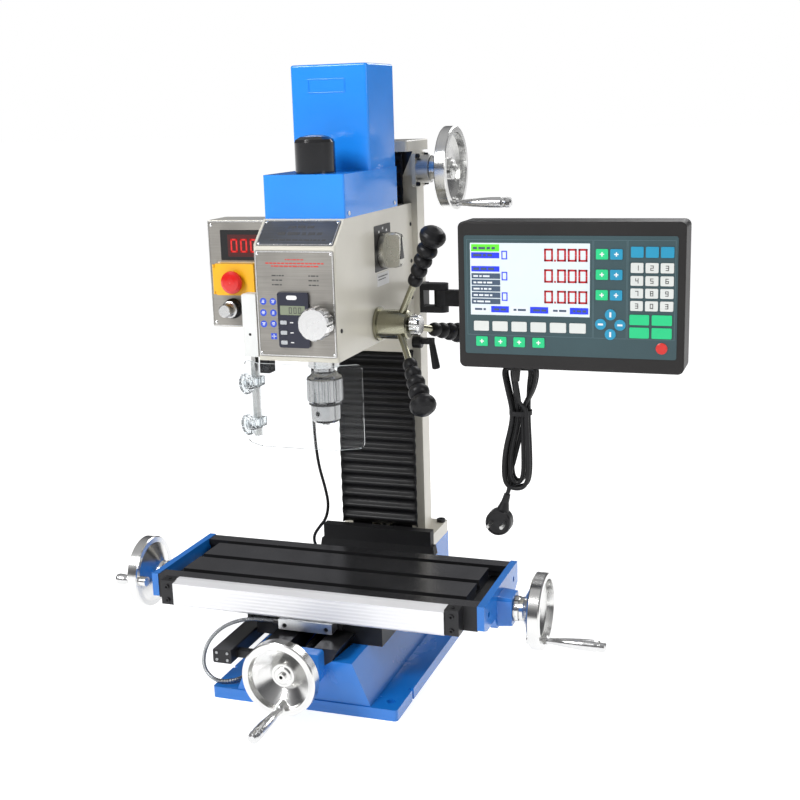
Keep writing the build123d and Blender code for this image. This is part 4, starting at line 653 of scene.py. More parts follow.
def brushed(name, colour, roughness, stretch=(20, 2500, 2500), relief=0.15, metallic=1.0):
    """Sheet metal linished in one direction."""
    material = bpy.data.materials.new(name)
    material.use_nodes = True
    shader = material.node_tree.nodes["Principled BSDF"]
    grain = material.node_tree.nodes.new("ShaderNodeGroup")
    grain.node_tree = brushed_grain
    grain.inputs["Colour"].default_value = (*colour, 1)
    grain.inputs["Roughness"].default_value = roughness
    grain.inputs["Stretch"].default_value = stretch
    grain.inputs["Relief"].default_value = relief
    material.node_tree.links.new(grain.outputs["Colour"], shader.inputs["Base Color"])
    material.node_tree.links.new(grain.outputs["Roughness"], shader.inputs["Roughness"])
    material.node_tree.links.new(grain.outputs["Normal"], shader.inputs["Normal"])
    shader.inputs["Metallic"].default_value = metallic
    material.diffuse_color = (*colour, 1)
    return material


brushed_panel = brushed("Brushed panel", (0.34, 0.325, 0.30), 0.34)
panel_rim = brushed("Panel rim", (0.70, 0.70, 0.70), 0.18, (300, 300, 300), 0.05)
print_red = coated("Print red", (0.55, 0.03, 0.02), 0.5)
print_dark = coated("Print dark", (0.05, 0.05, 0.05), 0.5)
print_blue = coated("Print blue", (0.02, 0.07, 0.55), 0.4)
print_white = coated("Print white", (0.75, 0.75, 0.75), 0.45)
front_face = ((0, -175, 0), (1, 0, 0), (0, 0, 1), (0, -1, 0))
front_panel = bmesh.new()
plate(front_panel, front_face, (-55.5, 484), (56, 624), 3, 0, 0.8)
piece_from("front_panel", front_panel, brushed_panel, "head", False)
front_rim = bmesh.new()
frame_of(front_rim, front_face, (-54.5, 485), (55, 623), 1.3, 0.7, 1.5)
for x in (-51.5, 52):
    for z in (488.5, 619.5):
        lathe(front_rim, (x, -175.8, z), (0, -1, 0), [(2.0, 0), (2.0, 0.5), (1.2, 1.1), (0.3, 1.3)], 16)
piece_from("front_rim", front_rim, panel_rim, "head")


def line_of_print(mesh, plane, left, right, z, height, seed, top):
    """A line of print as short dashes of word length, since it carries no words."""
    at = left
    step = seed
    while at < right - height:
        step = (step * 7 + 3) % 11
        word = height * (1.2 + step * 0.28)
        bar(mesh, (at, z, 0.7), (min(at + word, right), z + height, top), plane)
        at += word + height * 0.7


red_print = bmesh.new()
line_of_print(red_print, front_face, -12, 14, 611.5, 1.3, 3, 0.86)
for number, z in enumerate((606.5, 602.8)):
    line_of_print(red_print, front_face, -40 + number * 8, 42 - number * 6, z, 1.7, 5 + number, 0.86)
piece_from("front_panel_red_print", red_print, print_red, "head", False)
dark_print = bmesh.new()
for number, z in enumerate((590.5, 584.5, 578.5)):
    line_of_print(dark_print, front_face, -32, -14 - number * 2, z, 1.6, 4 + number, 0.86)
    line_of_print(dark_print, front_face, 20, 34, z, 1.6, 6 + number, 0.86)
piece_from("front_panel_dark_print", dark_print, print_dark, "head", False)
blue_discs = bmesh.new()
disc_marks = bmesh.new()
for x, z, kind in ((-46, 557, 0), (-32, 557, 1), (-46.5, 542, 2), (-32, 542, 3), (-46.6, 527, 4), (-32.6, 527.5, 5)):
    lathe(blue_discs, (x, -175.8, z), (0, -1, 0), [(4.6, 0), (4.6, 0.12)], 28)
    for k in range(3):
        left, right, low = x - 2.4 + (k + kind) % 3 * 0.5, x + 1.4 + (k * kind) % 3 * 0.5, z - 1.8 + k * 1.5
        bar(disc_marks, (left, low, 0.90), (right, low + 0.8, 0.98), front_face)
bar(blue_discs, (-37, 507, 0.8), (-28.5, 515, 0.92), front_face)
bar(disc_marks, (-36, 510.6, 0.9), (-29.5, 511.4, 1.0), front_face)
bar(disc_marks, (-33.2, 508, 0.9), (-32.4, 514, 1.0), front_face)
piece_from("panel_blue_discs", blue_discs, print_blue, "head", False)
piece_from("panel_disc_marks", disc_marks, print_white, "head", False)

readout_case = coated("Readout case", (0.012, 0.014, 0.03), 0.28, 0.1, 1500, 0.08)
readout_key = coated("Readout key", (0.42, 0.44, 0.46), 0.4, 0.08, 1500, 0.08)
grey_display = coated("Grey display", (0.20, 0.23, 0.16), 0.14, 0.05, 300, 0.02)
dress("quill_readout", [readout_case], None, 0.5)
for number in (1, 2, 3):
    dress(f"readout_button_{number}", [readout_key], None, 0.4)
readout_face = ((0, -180, 0), (1, 0, 0), (0, 0, 1), (0, -1, 0))
display = bmesh.new()
plate(display, readout_face, (-20.5, 540.3), (14.6, 552.5), 0.6, -0.6, -0.3)
piece_from("readout_display", display, grey_display, "head", False)
readout_oval = bmesh.new()
plate(readout_oval, readout_face, (-11, 560.4), (4, 566), 2.8, 0, 0.15)
for z in (530.4, 517.0, 504.0):
    bar(readout_oval, (-7, z - 0.6, 0), (-2.5, z + 0.6, 0.12), readout_face)
piece_from("readout_print", readout_oval, print_white, "head", False)


def digit_bars(mesh, plane, left, low, width, height, stroke, digit, bottom, top):
    """A seven-bar digit."""
    lit = {
        "0": "abcdef", "1": "bc", "2": "abdeg", "3": "abcdg", "4": "bcfg",
        "5": "acdfg", "6": "acdefg", "7": "abc", "8": "abcdefg", "9": "abcdfg",
    }[digit]
    mid = low + height / 2
    right, high = left + width, low + height
    gap = stroke * 0.04
    spans = {
        "a": (left + gap, high - stroke, right - gap, high), "d": (left + gap, low, right - gap, low + stroke),
        "g": (left + gap, mid - stroke / 2, right - gap, mid + stroke / 2),
        "f": (left, mid + gap, left + stroke, high - gap), "b": (right - stroke, mid + gap, right, high - gap),
        "e": (left, low + gap, left + stroke, mid - gap), "c": (right - stroke, low + gap, right, mid - gap),
    }
    for name in lit:
        a, b, c, d = spans[name]
        bar(mesh, (a, b, bottom), (c, d, top), plane)


readout_digits = bmesh.new()
for k, digit in enumerate("000"):
    digit_bars(readout_digits, readout_face, -8 + k * 6.6, 542.4, 4.2, 8, 0.9, digit, -0.3, -0.2)
piece_from("readout_digits", readout_digits, print_dark, "head", False)

# ---- Sloping name plate
# Dark brushed aluminium on the leaning face of the head, in a bright rim with four rivets. It carries blank
# dashes in place of a name.
slope_up = Vector((0, 38, 33)).normalized()
slope_out = Vector((0, -33, 38)).normalized()
slope_face = ((0, -175, 628), (1, 0, 0), tuple(slope_up), tuple(slope_out))
name_metal = brushed("Name plate", (0.16, 0.17, 0.19), 0.30, (20, 2000, 2000))
name_plate = bmesh.new()
plate(name_plate, slope_face, (-54, 2.5), (54.5, 47), 2, 0, 0.8)
piece_from("name_plate", name_plate, name_metal, "head", False)
name_rim = bmesh.new()
frame_of(name_rim, slope_face, (-53.5, 3), (54, 46.5), 1.3, 0.7, 1.4)
for x in (-50.5, 51):
    for up in (6, 43.5):
        place = Vector((x, -175, 628)) + slope_up * up + slope_out * 0.8
        lathe(name_rim, place, slope_out, [(2.0, 0), (2.0, 0.5), (1.2, 1.1), (0.3, 1.3)], 16)
piece_from("name_plate_rim", name_rim, panel_rim, "head")
name_dashes = bmesh.new()
line_of_print(name_dashes, slope_face, -16, 20, 33, 4.0, 5, 0.95)
line_of_print(name_dashes, slope_face, -28, 34, 21, 4.6, 8, 0.95)
line_of_print(name_dashes, slope_face, -36, 42, 11, 2.2, 2, 0.95)
piece_from("name_plate_dashes", name_dashes, print_dark, "head", False)

# ---- Knobs and levers on the head
# The fine-feed knob and the range knob are turned aluminium; the range knob carries a dark pointer and stands
# before a black label. The lock lever has a moulded black handle on a steel stud.
fine_metal = turned("Fine feed metal", (0.74, 0.74, 0.74), 0.22, (34.5, 0, 532), (0, 1, 0), 2400, 0.3)
range_metal = turned("Range knob metal", (0.52, 0.51, 0.46), 0.22, (0, 5, 605), (1, 0, 0), 2200, 0.3)
lever_black = coated("Lever black", (0.012, 0.012, 0.013), 0.32, 0.12, 900, 0.1)
dress("fine_feed_knob", [fine_metal], None, 0.4)
dress("range_knob", [range_metal], None, 0.5)
dress("head_lock_lever", [lever_black, bearing_steel], lambda c, n: 1 if c.x < 60 else 0, 0.4)
range_face = ((57.5, 0, 0), (0, 1, 0), (0, 0, 1), (1, 0, 0))
range_label = bmesh.new()
plate(range_label, range_face, (-29, 577), (37, 641), 2, 0, 0.5)
piece_from("range_label", range_label, lever_black, "head", False)
range_marks = bmesh.new()
for k, angle in enumerate((60, 90, 120)):
    out = Vector((0, math.cos(math.radians(angle)), math.sin(math.radians(angle))))
    mark = Vector((57.5, 5, 605)) + out * 31
    bar(range_marks, (mark.y - 2.4, mark.z - 1.6, 0.5), (mark.y + 2.4, mark.z + 1.6, 0.62), range_face)
piece_from("range_label_marks", range_marks, print_white, "head", False)
side_label = bmesh.new()
plate(side_label, range_face, (-22, 556), (26, 574), 1, 0, 0.35)
piece_from("side_label", side_label, print_white, "head", False)
side_print = bmesh.new()
line_of_print(side_print, ((57.2, 0, 0), (0, 1, 0), (0, 0, 1), (1, 0, 0)), -18, 20, 568.5, 1.5, 3, 0.75)
line_of_print(side_print, ((57.2, 0, 0), (0, 1, 0), (0, 0, 1), (1, 0, 0)), -18, 12, 564.5, 1.5, 6, 0.75)
piece_from("side_label_print", side_print, print_dark, "head", False)
pointer = bmesh.new()
tip = [Vector((86.3, 5 + a, 605 + b)) / 1000 for a, b in ((0, 20), (-8, -12), (8, -12))]
base_tip = [p - Vector((0.0006, 0, 0)) for p in tip]
pointer_top = [pointer.verts.new(p) for p in tip]
pointer_low = [pointer.verts.new(p) for p in base_tip]
pointer.faces.new(pointer_top)
for k in range(3):
    pointer.faces.new((pointer_top[k], pointer_low[k], pointer_low[(k + 1) % 3], pointer_top[(k + 1) % 3]))
piece_from("range_pointer", pointer, lever_black, "range_knob", False)
gib_screws = bmesh.new()
for y, z in ((-162, 518), (128, 520), (128, 575), (128, 630)):
    socket_screw(gib_screws, (57.4, y, z), (1, 0, 0), 3.0, 1.2)
piece_from("head_set_screws", gib_screws, blackened_iron, "head")

# ---- Capstan
# Turned and polished steel hub with three screwed-in spokes; each spoke ends in a moulded rubber grip with
# finger lobes and a ball. The clutch knob in the hub's end is scalloped and bright.
capstan_metal = turned("Capstan metal", (0.33, 0.32, 0.24), 0.20, (0, -25, 505), (1, 0, 0), 2200, 0.3)
grip_rubber = coated("Grip rubber", (0.010, 0.010, 0.011), 0.38, 0.2, 1200, 0.15)
clutch_metal = turned("Clutch metal", (0.68, 0.68, 0.67), 0.16, (0, -25, 505), (1, 0, 0), 1800, 0.2)
dress("capstan", [capstan_metal])
dress("capstan_grips", [grip_rubber])
dress("clutch_knob", [clutch_metal], None, 0.4)
for name in ("capstan", "capstan_grips", "clutch_knob", "fine_feed_knob", "range_knob"):
    nodes[name].data.set_sharp_from_angle(angle=math.radians(40))

# ---- Quill, spindle and chuck
# Ground steel quill and spindle; the key chuck is polished steel with a fluted sleeve, a blackened ring and
# three hardened jaws.
quill_steel = turned("Quill steel", (0.58, 0.58, 0.58), 0.16, (0, -89, 0), (0, 0, 1), 2500, 0.1)
chuck_steel = turned("Chuck steel", (0.36, 0.36, 0.36), 0.12, (0, -89, 0), (0, 0, 1), 1500, 0.12)
dress("quill", [quill_steel])
dress("spindle", [quill_steel])
dress("drill_chuck", [chuck_steel, blackened_iron], lambda c, n: 1 if 401.5 < c.z < 406 else 0)
jaws = bmesh.new()
for k in range(3):
    angle = math.radians(90 + 120 * k)
    out = Vector((math.cos(angle), math.sin(angle), 0))
    flank = Vector((-out.y, out.x, 0))
    foot = Vector((0, -89, 0))
    corners = []
    for z, near, far, half in ((388, 0.8, 8.2, 2.6), (372, 0.8, 5.4, 2.2)):
        corners.append([
            jaws.verts.new((foot + out * r + flank * s + Vector((0, 0, z))) / 1000)
            for r, s in ((near, -half), (far, -half), (far, half), (near, half))
        ])
    for j in range(4):
        jaws.faces.new((corners[0][j], corners[0][(j + 1) % 4], corners[1][(j + 1) % 4], corners[1][j]))
    jaws.faces.new(corners[0])
    jaws.faces.new(list(reversed(corners[1])))
piece_from("chuck_jaws", jaws, chuck_steel, "spindle", False)

# ---- Control box
# Folded steel box in cream paint with a brushed panel, a red number display behind a dark window, a yellow
# switch flap with a red stop button, and the speed knob.
switch_yellow = coated("Switch yellow", (0.80, 0.42, 0.01), 0.30, 0.06, 900, 0.08)
stop_red = coated("Stop red", (0.62, 0.012, 0.01), 0.22, 0.06, 900, 0.05, 0.0, 0.2)
knob_black = coated("Knob black", (0.012, 0.012, 0.013), 0.35, 0.12, 900, 0.1)
knob_metal = turned("Speed knob metal", (0.60, 0.60, 0.60), 0.22, (-140.5, 0, 530), (0, 1, 0), 2200, 0.2)
dress(
    "control_box", [enamel_cream, switch_yellow],
    lambda c, n: 1 if c.y < -75.02 and 550 < c.z < 596 else 0, 0.6,
)
dress(
    "switch_lid", [switch_yellow, stop_red],
    lambda c, n: 1 if c.y < -93.05 and (c.x + 129) ** 2 + (c.z - 570) ** 2 < 260 else 0, 0.4,
)
dress("speed_knob", [knob_black, knob_metal], lambda c, n: 1 if c.y < -89.2 else 0)
box_face = ((0, -75, 0), (1, 0, 0), (0, 0, 1), (0, -1, 0))
box_panel = bmesh.new()
plate(box_panel, box_face, (-172, 505.5), (-59, 547), 2, 0, 0.7)
plate(box_panel, box_face, (-172, 547), (-161.8, 598), 0.3, 0, 0.7)
plate(box_panel, box_face, (-96, 547), (-59, 598), 0.3, 0, 0.7)
plate(box_panel, box_face, (-161.8, 547), (-96, 549.5), 0.3, 0, 0.7)
plate(box_panel, box_face, (-161.8, 596.5), (-96, 598), 0.3, 0, 0.7)
plate(box_panel, box_face, (-172, 640.5), (-59, 651.5), 2, 0, 0.7)
plate(box_panel, box_face, (-172, 598), (-155, 640.5), 0.3, 0, 0.7)
plate(box_panel, box_face, (-78, 598), (-59, 640.5), 0.3, 0, 0.7)
piece_from("box_panel", box_panel, brushed_panel, "head", False)
box_rim = bmesh.new()
frame_of(box_rim, box_face, (-173.5, 504.5), (-58.5, 652.5), 1.2, 0.4, 1.4)
for x in (-168.5, -64):
    for z in (509.5, 647):
        lathe(box_rim, (x, -75.7, z), (0, -1, 0), [(2.2, 0), (2.2, 0.5), (1.3, 1.2), (0.3, 1.4)], 16)
piece_from("box_rim", box_rim, panel_rim, "head")
window_black = coated("Window black", (0.006, 0.006, 0.007), 0.10, 0.05, 300, 0.02, 0.0, 0.5)
box_window = bmesh.new()
plate(box_window, box_face, (-154.8, 598.2), (-78.2, 640.3), 1, -1, 0.4)
piece_from("box_window", box_window, window_black, "head", False)
red_glass = coated("Red filter", (0.06, 0.004, 0.004), 0.15, 0.05, 300, 0.02)
red_window = bmesh.new()
plate(red_window, box_face, (-144, 603), (-84, 634), 1, 0.3, 0.6)
piece_from("box_red_filter", red_window, red_glass, "head", False)


def glowing(name, colour, strength):
    """A lit display colour."""
    material = coated(name, colour, 0.4)
    shader = material.node_tree.nodes["Principled BSDF"]
    shader.inputs["Emission Color"].default_value = (*colour, 1)
    shader.inputs["Emission Strength"].default_value = strength
    return material


digit_red = glowing("Digit red", (0.55, 0.012, 0.01), 0.35)
box_digits = bmesh.new()
for k, digit in enumerate("000"):
    digit_bars(box_digits, box_face, -139.5 + k * 15, 609, 10.5, 19, 2.4, digit, 0.62, 0.75)
piece_from("box_digits", box_digits, digit_red, "head", False)

# ---- Guard
# White-enamelled mount with a bright hexagon rod, a black interlock switch, a bent clear acrylic shield and
# two clear scalloped clamp knobs. The shield's cut edges are painted an opaque pale grey as a painted highlight.
guard_white = coated("Guard white", (0.66, 0.67, 0.66), 0.30, 0.08, 600, 0.08)
interlock_black = coated("Interlock black", (0.012, 0.012, 0.014), 0.4, 0.1, 900, 0.15)


def clear_material(name, tint, roughness, thin):
    """Acrylic, clear through its faces; its pale cut edge is a separate painted highlight."""
    material = bpy.data.materials.new(name)
    material.use_nodes = True
    tree = material.node_tree
    shader = tree.nodes["Principled BSDF"]
    shader.inputs["Base Color"].default_value = (*tint, 1)
    shader.inputs["Transmission Weight"].default_value = 1.0
    shader.inputs["IOR"].default_value = 1.2 if thin else 1.45
    haze = tree.nodes.new("ShaderNodeTexNoise")
    haze.inputs["Scale"].default_value = 60
    haze.inputs["Detail"].default_value = 4
    place = tree.nodes.new("ShaderNodeTexCoord")
    tree.links.new(place.outputs["Object"], haze.inputs["Vector"])
    rough = tree.nodes.new("ShaderNodeMath")
    rough.operation = "MULTIPLY_ADD"
    rough.inputs[1].default_value = 0.08
    rough.inputs[2].default_value = roughness
    tree.links.new(haze.outputs["Fac"], rough.inputs[0])
    tree.links.new(rough.outputs[0], shader.inputs["Roughness"])
    material.diffuse_color = (*tint, 0.4)
    return material


shield_clear = clear_material("Clear acrylic", (0.96, 0.98, 0.99), 0.02, True)
# Painted highlight: opaque pale grey stands in for the light caught along the acrylic's cut edges.
shield_edge_highlight = coated("Acrylic edge painted highlight", (0.62, 0.66, 0.68), 0.35, 0.1, 400, 0.1)
knob_clear = clear_material("Clear knob", (0.80, 0.84, 0.86), 0.08, False)
dress(
    "guard_mount", [guard_white, bearing_steel, interlock_black],
    lambda c, n: 2 if c.x > -57.45 else (1 if c.z < 481.9 else 0), 0.5,
)
# Faces square to x or z take the pale painted-highlight edge finish; the rest stay clear.
dress("guard_shield", [shield_clear, shield_edge_highlight], lambda c, n: 1 if abs(n.z) > 0.9 or abs(n.x) > 0.9 else 0)
dress("guard_clamps", [knob_clear], None, 0.3)
mount_hole = bmesh.new()
lathe(mount_hole, (-68, -175.02, 512), (0, -1, 0), [(1.9, 0), (1.9, 0.08), (1.4, 0.1)], 24)
piece_from("mount_screw_hole", mount_hole, blackened_iron, "head")

# ---- Digital readout
# Folded bracket and plate arm in black powder coat; the console is a moulded case in dark slate with a printed
# keypad face. Digits, keys and menu bars are blocks and dashes, with no lettering.
arm_black = coated("Arm black", (0.020, 0.020, 0.022), 0.42, 0.14, 1100, 0.22)
console_slate = coated("Console slate", (0.020, 0.019, 0.019), 0.45, 0.14, 1300, 0.22)
dress("dro_bracket", [arm_black])
dress("dro_arm", [arm_black])
dress("dro_console", [console_slate], None, 0.8)
arm_screws = bmesh.new()
for x, y in ((97, 150),):
    lathe(arm_screws, (x, y, 529), (0, 0, 1), [(9, 0), (9, 1.2), (6.5, 1.2), (6.5, 6), (5.5, 7)], 6)
piece_from("arm_pivot_nut", arm_screws, screw_steel, "dro_arm", False)
console_face = ((0, -105, 0), (1, 0, 0), (0, 0, 1), (0, -1, 0))
panel_teal = coated("Console face", (0.028, 0.062, 0.072), 0.40, 0.10, 1500, 0.10)
face_line = coated("Console face line", (0.06, 0.11, 0.125), 0.4)
screen_dark = coated("Screen rows", (0.05, 0.08, 0.13), 0.25, 0.04, 300, 0.02)
key_white = coated("Key white", (0.60, 0.62, 0.60), 0.36, 0.06, 1400, 0.06)
key_blue = coated("Key blue", (0.01, 0.25, 0.42), 0.36, 0.06, 1400, 0.06)
key_green = coated("Key green", (0.01, 0.52, 0.20), 0.36, 0.06, 1400, 0.06)
key_red = coated("Key red", (0.55, 0.02, 0.015), 0.30, 0.06, 1400, 0.06)
lit_red = glowing("Screen red", (0.42, 0.004, 0.010), 0.05)
lit_green = glowing("Screen green", (0.10, 0.62, 0.02), 0.2)
lit_blue = glowing("Screen blue", (0.008, 0.03, 0.62), 0.2)
lit_white = glowing("Screen white", (0.62, 0.66, 0.70), 0.1)
console_panel = bmesh.new()
plate(console_panel, console_face, (208.8, 483.9), (480.6, 637.5), 3, 0, 0.5)
piece_from("console_panel", console_panel, panel_teal, "dro_console", False)
console_lines = bmesh.new()
frame_of(console_lines, console_face, (212, 508.5), (376, 632.5), 0.7, 0.5, 0.62)
frame_of(console_lines, console_face, (376.6, 508.5), (418.5, 632.5), 0.7, 0.5, 0.62)
frame_of(console_lines, console_face, (419.2, 508.5), (478, 632.5), 0.7, 0.5, 0.62)
piece_from("console_lines", console_lines, face_line, "dro_console", False)
screen = bmesh.new()
plate(screen, console_face, (216.9, 535.1), (372.2, 628), 0.6, 0.5, 0.8)
screen_light = glowing("Screen field", (0.58, 0.65, 0.69), 0.12)
piece_from("console_screen", screen, screen_light, "dro_console", False)

menu = {"green": bmesh.new(), "blue": bmesh.new(), "white": bmesh.new(), "red": bmesh.new(), "dark": bmesh.new()}
bar(menu["green"], (218.5, 617.2, 0.8), (255.7, 626.2, 0.95), console_face)
bar(menu["blue"], (218.5, 608.4, 0.8), (255.7, 615.8, 0.95), console_face)
bar(menu["white"], (218.5, 599.2, 0.8), (246, 607.2, 0.95), console_face)
bar(menu["blue"], (218.5, 591.2, 0.8), (255.7, 598.2, 0.95), console_face)
screen_print = ((0, -104.9, 0), (1, 0, 0), (0, 0, 1), (0, -1, 0))
for row in range(5):
    bar(menu["dark"], (218.5, 582.0 - row * 8.2, 0.8), (256.5, 589.0 - row * 8.2, 0.95), console_face)
    line_of_print(menu["white"], screen_print, 221, 246, 584.2 - row * 8.2, 2.2, 2 + row, 1.12)
for row, low in enumerate((619.8, 610.8, 593.2)):
    line_of_print(menu["dark"], screen_print, 221, 250, low, 3.0, 3 + row, 1.15)
for cell in range(6):
    left = 218.5 + cell * 25.7
    bar(menu["blue" if cell % 2 else "white"], (left, 538.6, 0.8), (left + 23.5, 546.8, 0.95), console_face)
    line_of_print(menu["dark"], screen_print, left + 4, left + 21, 541.2, 2.6, 4 + cell, 1.15)
for row, (low, height) in enumerate(((605.1, 16.2), (578.2, 17.0), (551.8, 16.4))):
    for left in (314.0, 330.6, 344.2, 357.8):
        digit_bars(menu["red"], console_face, left, low, 11.4, height, 2.4, "0", 0.8, 1.0)
    bar(menu["red"], (326.8, low, 0.8), (329.2, low + 2.4, 1.0), console_face)
    frame_of(menu["blue"], console_face, (258.5, low + 2), (266.0, low + 13), 1.4, 0.8, 1.0)
screen_inks = {"green": lit_green, "blue": lit_blue, "white": lit_white, "red": lit_red, "dark": screen_dark}
for colour, material in screen_inks.items():
    piece_from(f"screen_{colour}", menu[colour], material, "dro_console", False)

keys = {name: bmesh.new() for name in ("white", "blue", "green", "red", "legend", "pale")}
key_print = ((0, -104.2, 0), (1, 0, 0), (0, 0, 1), (0, -1, 0))


def key(colour, left, low, right, high, mark=1):
    """A domed membrane key with a blank legend."""
    plate(keys[colour], console_face, (left, low), (right, high), 1.4, 0.5, 1.5)
    middle, level = (left + right) / 2, (low + high) / 2
    size = min(right - left, high - low) * 0.5
    ink = "legend" if colour == "white" else "pale"
    if mark == 1:
        under, over, reach = size * 0.10, size * 0.12, size * 0.42
        bar(keys[ink], (middle - reach, level - under, 1.5), (middle + reach, level + over, 1.62), console_face)
        bar(keys[ink], (middle - under, level - reach, 1.5), (middle + over, level + reach, 1.64), console_face)
    if mark == 2:
        line_of_print(keys[ink], key_print, left + 2.2, right - 1.5, level - 1.2, 2.4, int(left) % 11, 0.84)


for row, (low, high) in enumerate(((608.4, 621.3), (583.0, 595.7), (557.4, 570.1))):
    key("green", 379.7, low, 394.9, high)
    key("blue", 397.6, low, 412.9, high)
columns = ((423.1, 438.6), (441.3, 457.1), (459.7, 475.8))
for left, right in columns:
    key("blue", left, 611.1, right, 624.5, 2)
for row, (low, high) in enumerate(((592.2, 604.6), (576.3, 588.4), (560.7, 572.8), (544.8, 557.2))):
    for column, (left, right) in enumerate(columns):
        plate(keys["white"], console_face, (left, low), (right, high), 1.4, 0.5, 1.5)
        digit = "123456789303"[row * 3 + column]
        middle, level = (left + right) / 2, (low + high) / 2
        digit_bars(keys["legend"], console_face, middle - 2, level - 3.2, 4, 6.4, 0.9, digit, 1.5, 1.62)
for low, high in ((527.0, 539.9), (510.3, 523.8)):
    key("green", 422.3, low, 446.6, high, 2)
    key("green", 449.8, low, 474.5, high, 2)
for x, z, across, up in ((398.4, 539.1, 0, 1), (386.1, 526.7, -1, 0), (410.5, 526.2, 1, 0), (398.4, 514.1, 0, -1)):
    lathe(keys["blue"], (x, -105.5, z), (0, -1, 0), [(7.0, 0), (7.0, 0.7), (6.4, 1.1)], 32)
    wide, tall = 1.2 + 2 * abs(across), 1.2 + 2 * abs(up)
    bar(keys["pale"], (x - wide, z - tall, 1.6), (x + wide, z + tall, 1.72), console_face)
for left, right in ((220.9, 241), (245.8, 265.9), (271, 291), (296.1, 316.2), (321.3, 342.2), (346.5, 367.4)):
    key("white", left, 514.3, right, 527.0, 2)
for left, right in ((223.6, 239.1), (248.5, 264), (273.4, 288.6), (298.5, 314.1)):
    key("green", left, 494.1, right, 506.8, 1)
lathe(keys["red"], (462.4, -105.5, 497.9), (0, -1, 0), [(7.2, 0), (7.2, 0.7), (6.4, 1.2)], 36)
key_inks = {
    "white": key_white, "blue": key_blue, "green": key_green, "red": key_red, "legend": print_dark, "pale": print_white,
}
for colour, material in key_inks.items():
    piece_from(f"keys_{colour}", keys[colour], material, "dro_console", False)


# ---- Cords
# The motor cable runs in a black sheath down the column; the reader's lead is a flexible steel conduit wound
# with a coil, and the console's lead hangs in a tied hank with a moulded round plug at its end.


def route(name, points, bevel, material):
    """A smooth tube along the control points, which are in metres."""
    curve = bpy.data.curves.new(name, "CURVE")
    curve.dimensions = "3D"
    spline = curve.splines.new("NURBS")
    spline.points.add(len(points) - 1)
    for place, point in zip(spline.points, points):
        place.co = (*point, 1)
    spline.order_u = 3
    spline.use_endpoint_u = True
    spline.resolution_u = 8
    curve.bevel_depth = bevel
    curve.bevel_resolution = 3
    curve.use_fill_caps = True
    piece = bpy.data.objects.new(name, curve)
    bpy.context.scene.collection.objects.link(piece)
    curve.materials.append(material)
    return piece


cable_black = coated("Cable black", (0.010, 0.010, 0.011), 0.42, 0.10, 900, 0.12)
motor_route = [
    (-0.080, 0.150, 0.480), (-0.095, 0.150, 0.480), (-0.107, 0.143, 0.468), (-0.110, 0.134, 0.447),
    (-0.111, 0.127, 0.418), (-0.1095, 0.122, 0.380), (-0.1105, 0.121, 0.332), (-0.1095, 0.1205, 0.291),
    (-0.106, 0.121, 0.248), (-0.096, 0.1215, 0.210), (-0.091, 0.121, 0.182), (-0.097, 0.121, 0.157),
    (-0.110, 0.121, 0.142), (-0.120, 0.121, 0.127), (-0.118, 0.121, 0.111), (-0.107, 0.121, 0.104),
    (-0.094, 0.121, 0.104),
]
motor_cord = route("motor_cord", motor_route, 0.0025, cable_black)
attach(motor_cord, "frame")
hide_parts("motor_cable")

reader_route = [
    (-0.057, -0.170, 0.105), (-0.080, -0.170, 0.105), (-0.105, -0.175, 0.104), (-0.130, -0.184, 0.095),
    (-0.148, -0.193, 0.078), (-0.156, -0.200, 0.057), (-0.155, -0.204, 0.036), (-0.140, -0.2045, 0.0205),
    (-0.118, -0.204, 0.0205), (-0.102, -0.189, 0.0215), (-0.101, -0.167, 0.027), (-0.097, -0.143, 0.039),
    (-0.093, -0.119, 0.053), (-0.0893, -0.098, 0.0665), (-0.0893, -0.080, 0.0665),
]
conduit = coated("Conduit", (0.30, 0.31, 0.32), 0.32, 0.10, 900, 0.10, 0.9)


def ridged_tube(name, points, radius, dip, pitch, material):
    """A wound conduit: a tube whose rings swell and narrow along the smooth line of the control points."""
    guide = route(name + "_guide", points, 0, material)
    guide.data.resolution_u = 24
    line = bpy.data.meshes.new_from_object(guide)
    places = [vertex.co.copy() for vertex in line.vertices]
    bpy.data.meshes.remove(line)
    guide_curve = guide.data
    bpy.data.objects.remove(guide)
    bpy.data.curves.remove(guide_curve)
    runs = [0.0]
    for a, b in zip(places[:-1], places[1:]):
        runs.append(runs[-1] + (b - a).length)
    count = int(runs[-1] / (pitch / 4))
    build = bmesh.new()
    rings = []
    at = 0
    side = Vector((0, 0, 1))
    for k in range(count + 1):
        run = runs[-1] * k / count
        while at < len(runs) - 2 and runs[at + 1] < run:
            at += 1
        share = (run - runs[at]) / max(runs[at + 1] - runs[at], 1e-9)
        centre = places[at].lerp(places[at + 1], share)
        ahead = (places[at + 1] - places[at]).normalized()
        side = (side - ahead * side.dot(ahead)).normalized()
        other = ahead.cross(side)
        size = radius - dip * (0, 0.6, 1, 0.6)[k % 4]
        rings.append([
            build.verts.new(centre + (side * math.cos(math.pi * j / 7) + other * math.sin(math.pi * j / 7)) * size)
            for j in range(14)
        ])
    for a, b in zip(rings[:-1], rings[1:]):
        for j in range(14):
            build.faces.new((a[j], a[(j + 1) % 14], b[(j + 1) % 14], b[j]))
    build.faces.new(list(reversed(rings[0])))
    build.faces.new(rings[-1])
    return build, places


conduit_build, conduit_path = ridged_tube("reader_cord", reader_route, 0.003, 0.0007, 0.0034, conduit)
reader_cord = piece_from("reader_cord", conduit_build, conduit, "saddle")
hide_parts("reader_cable")

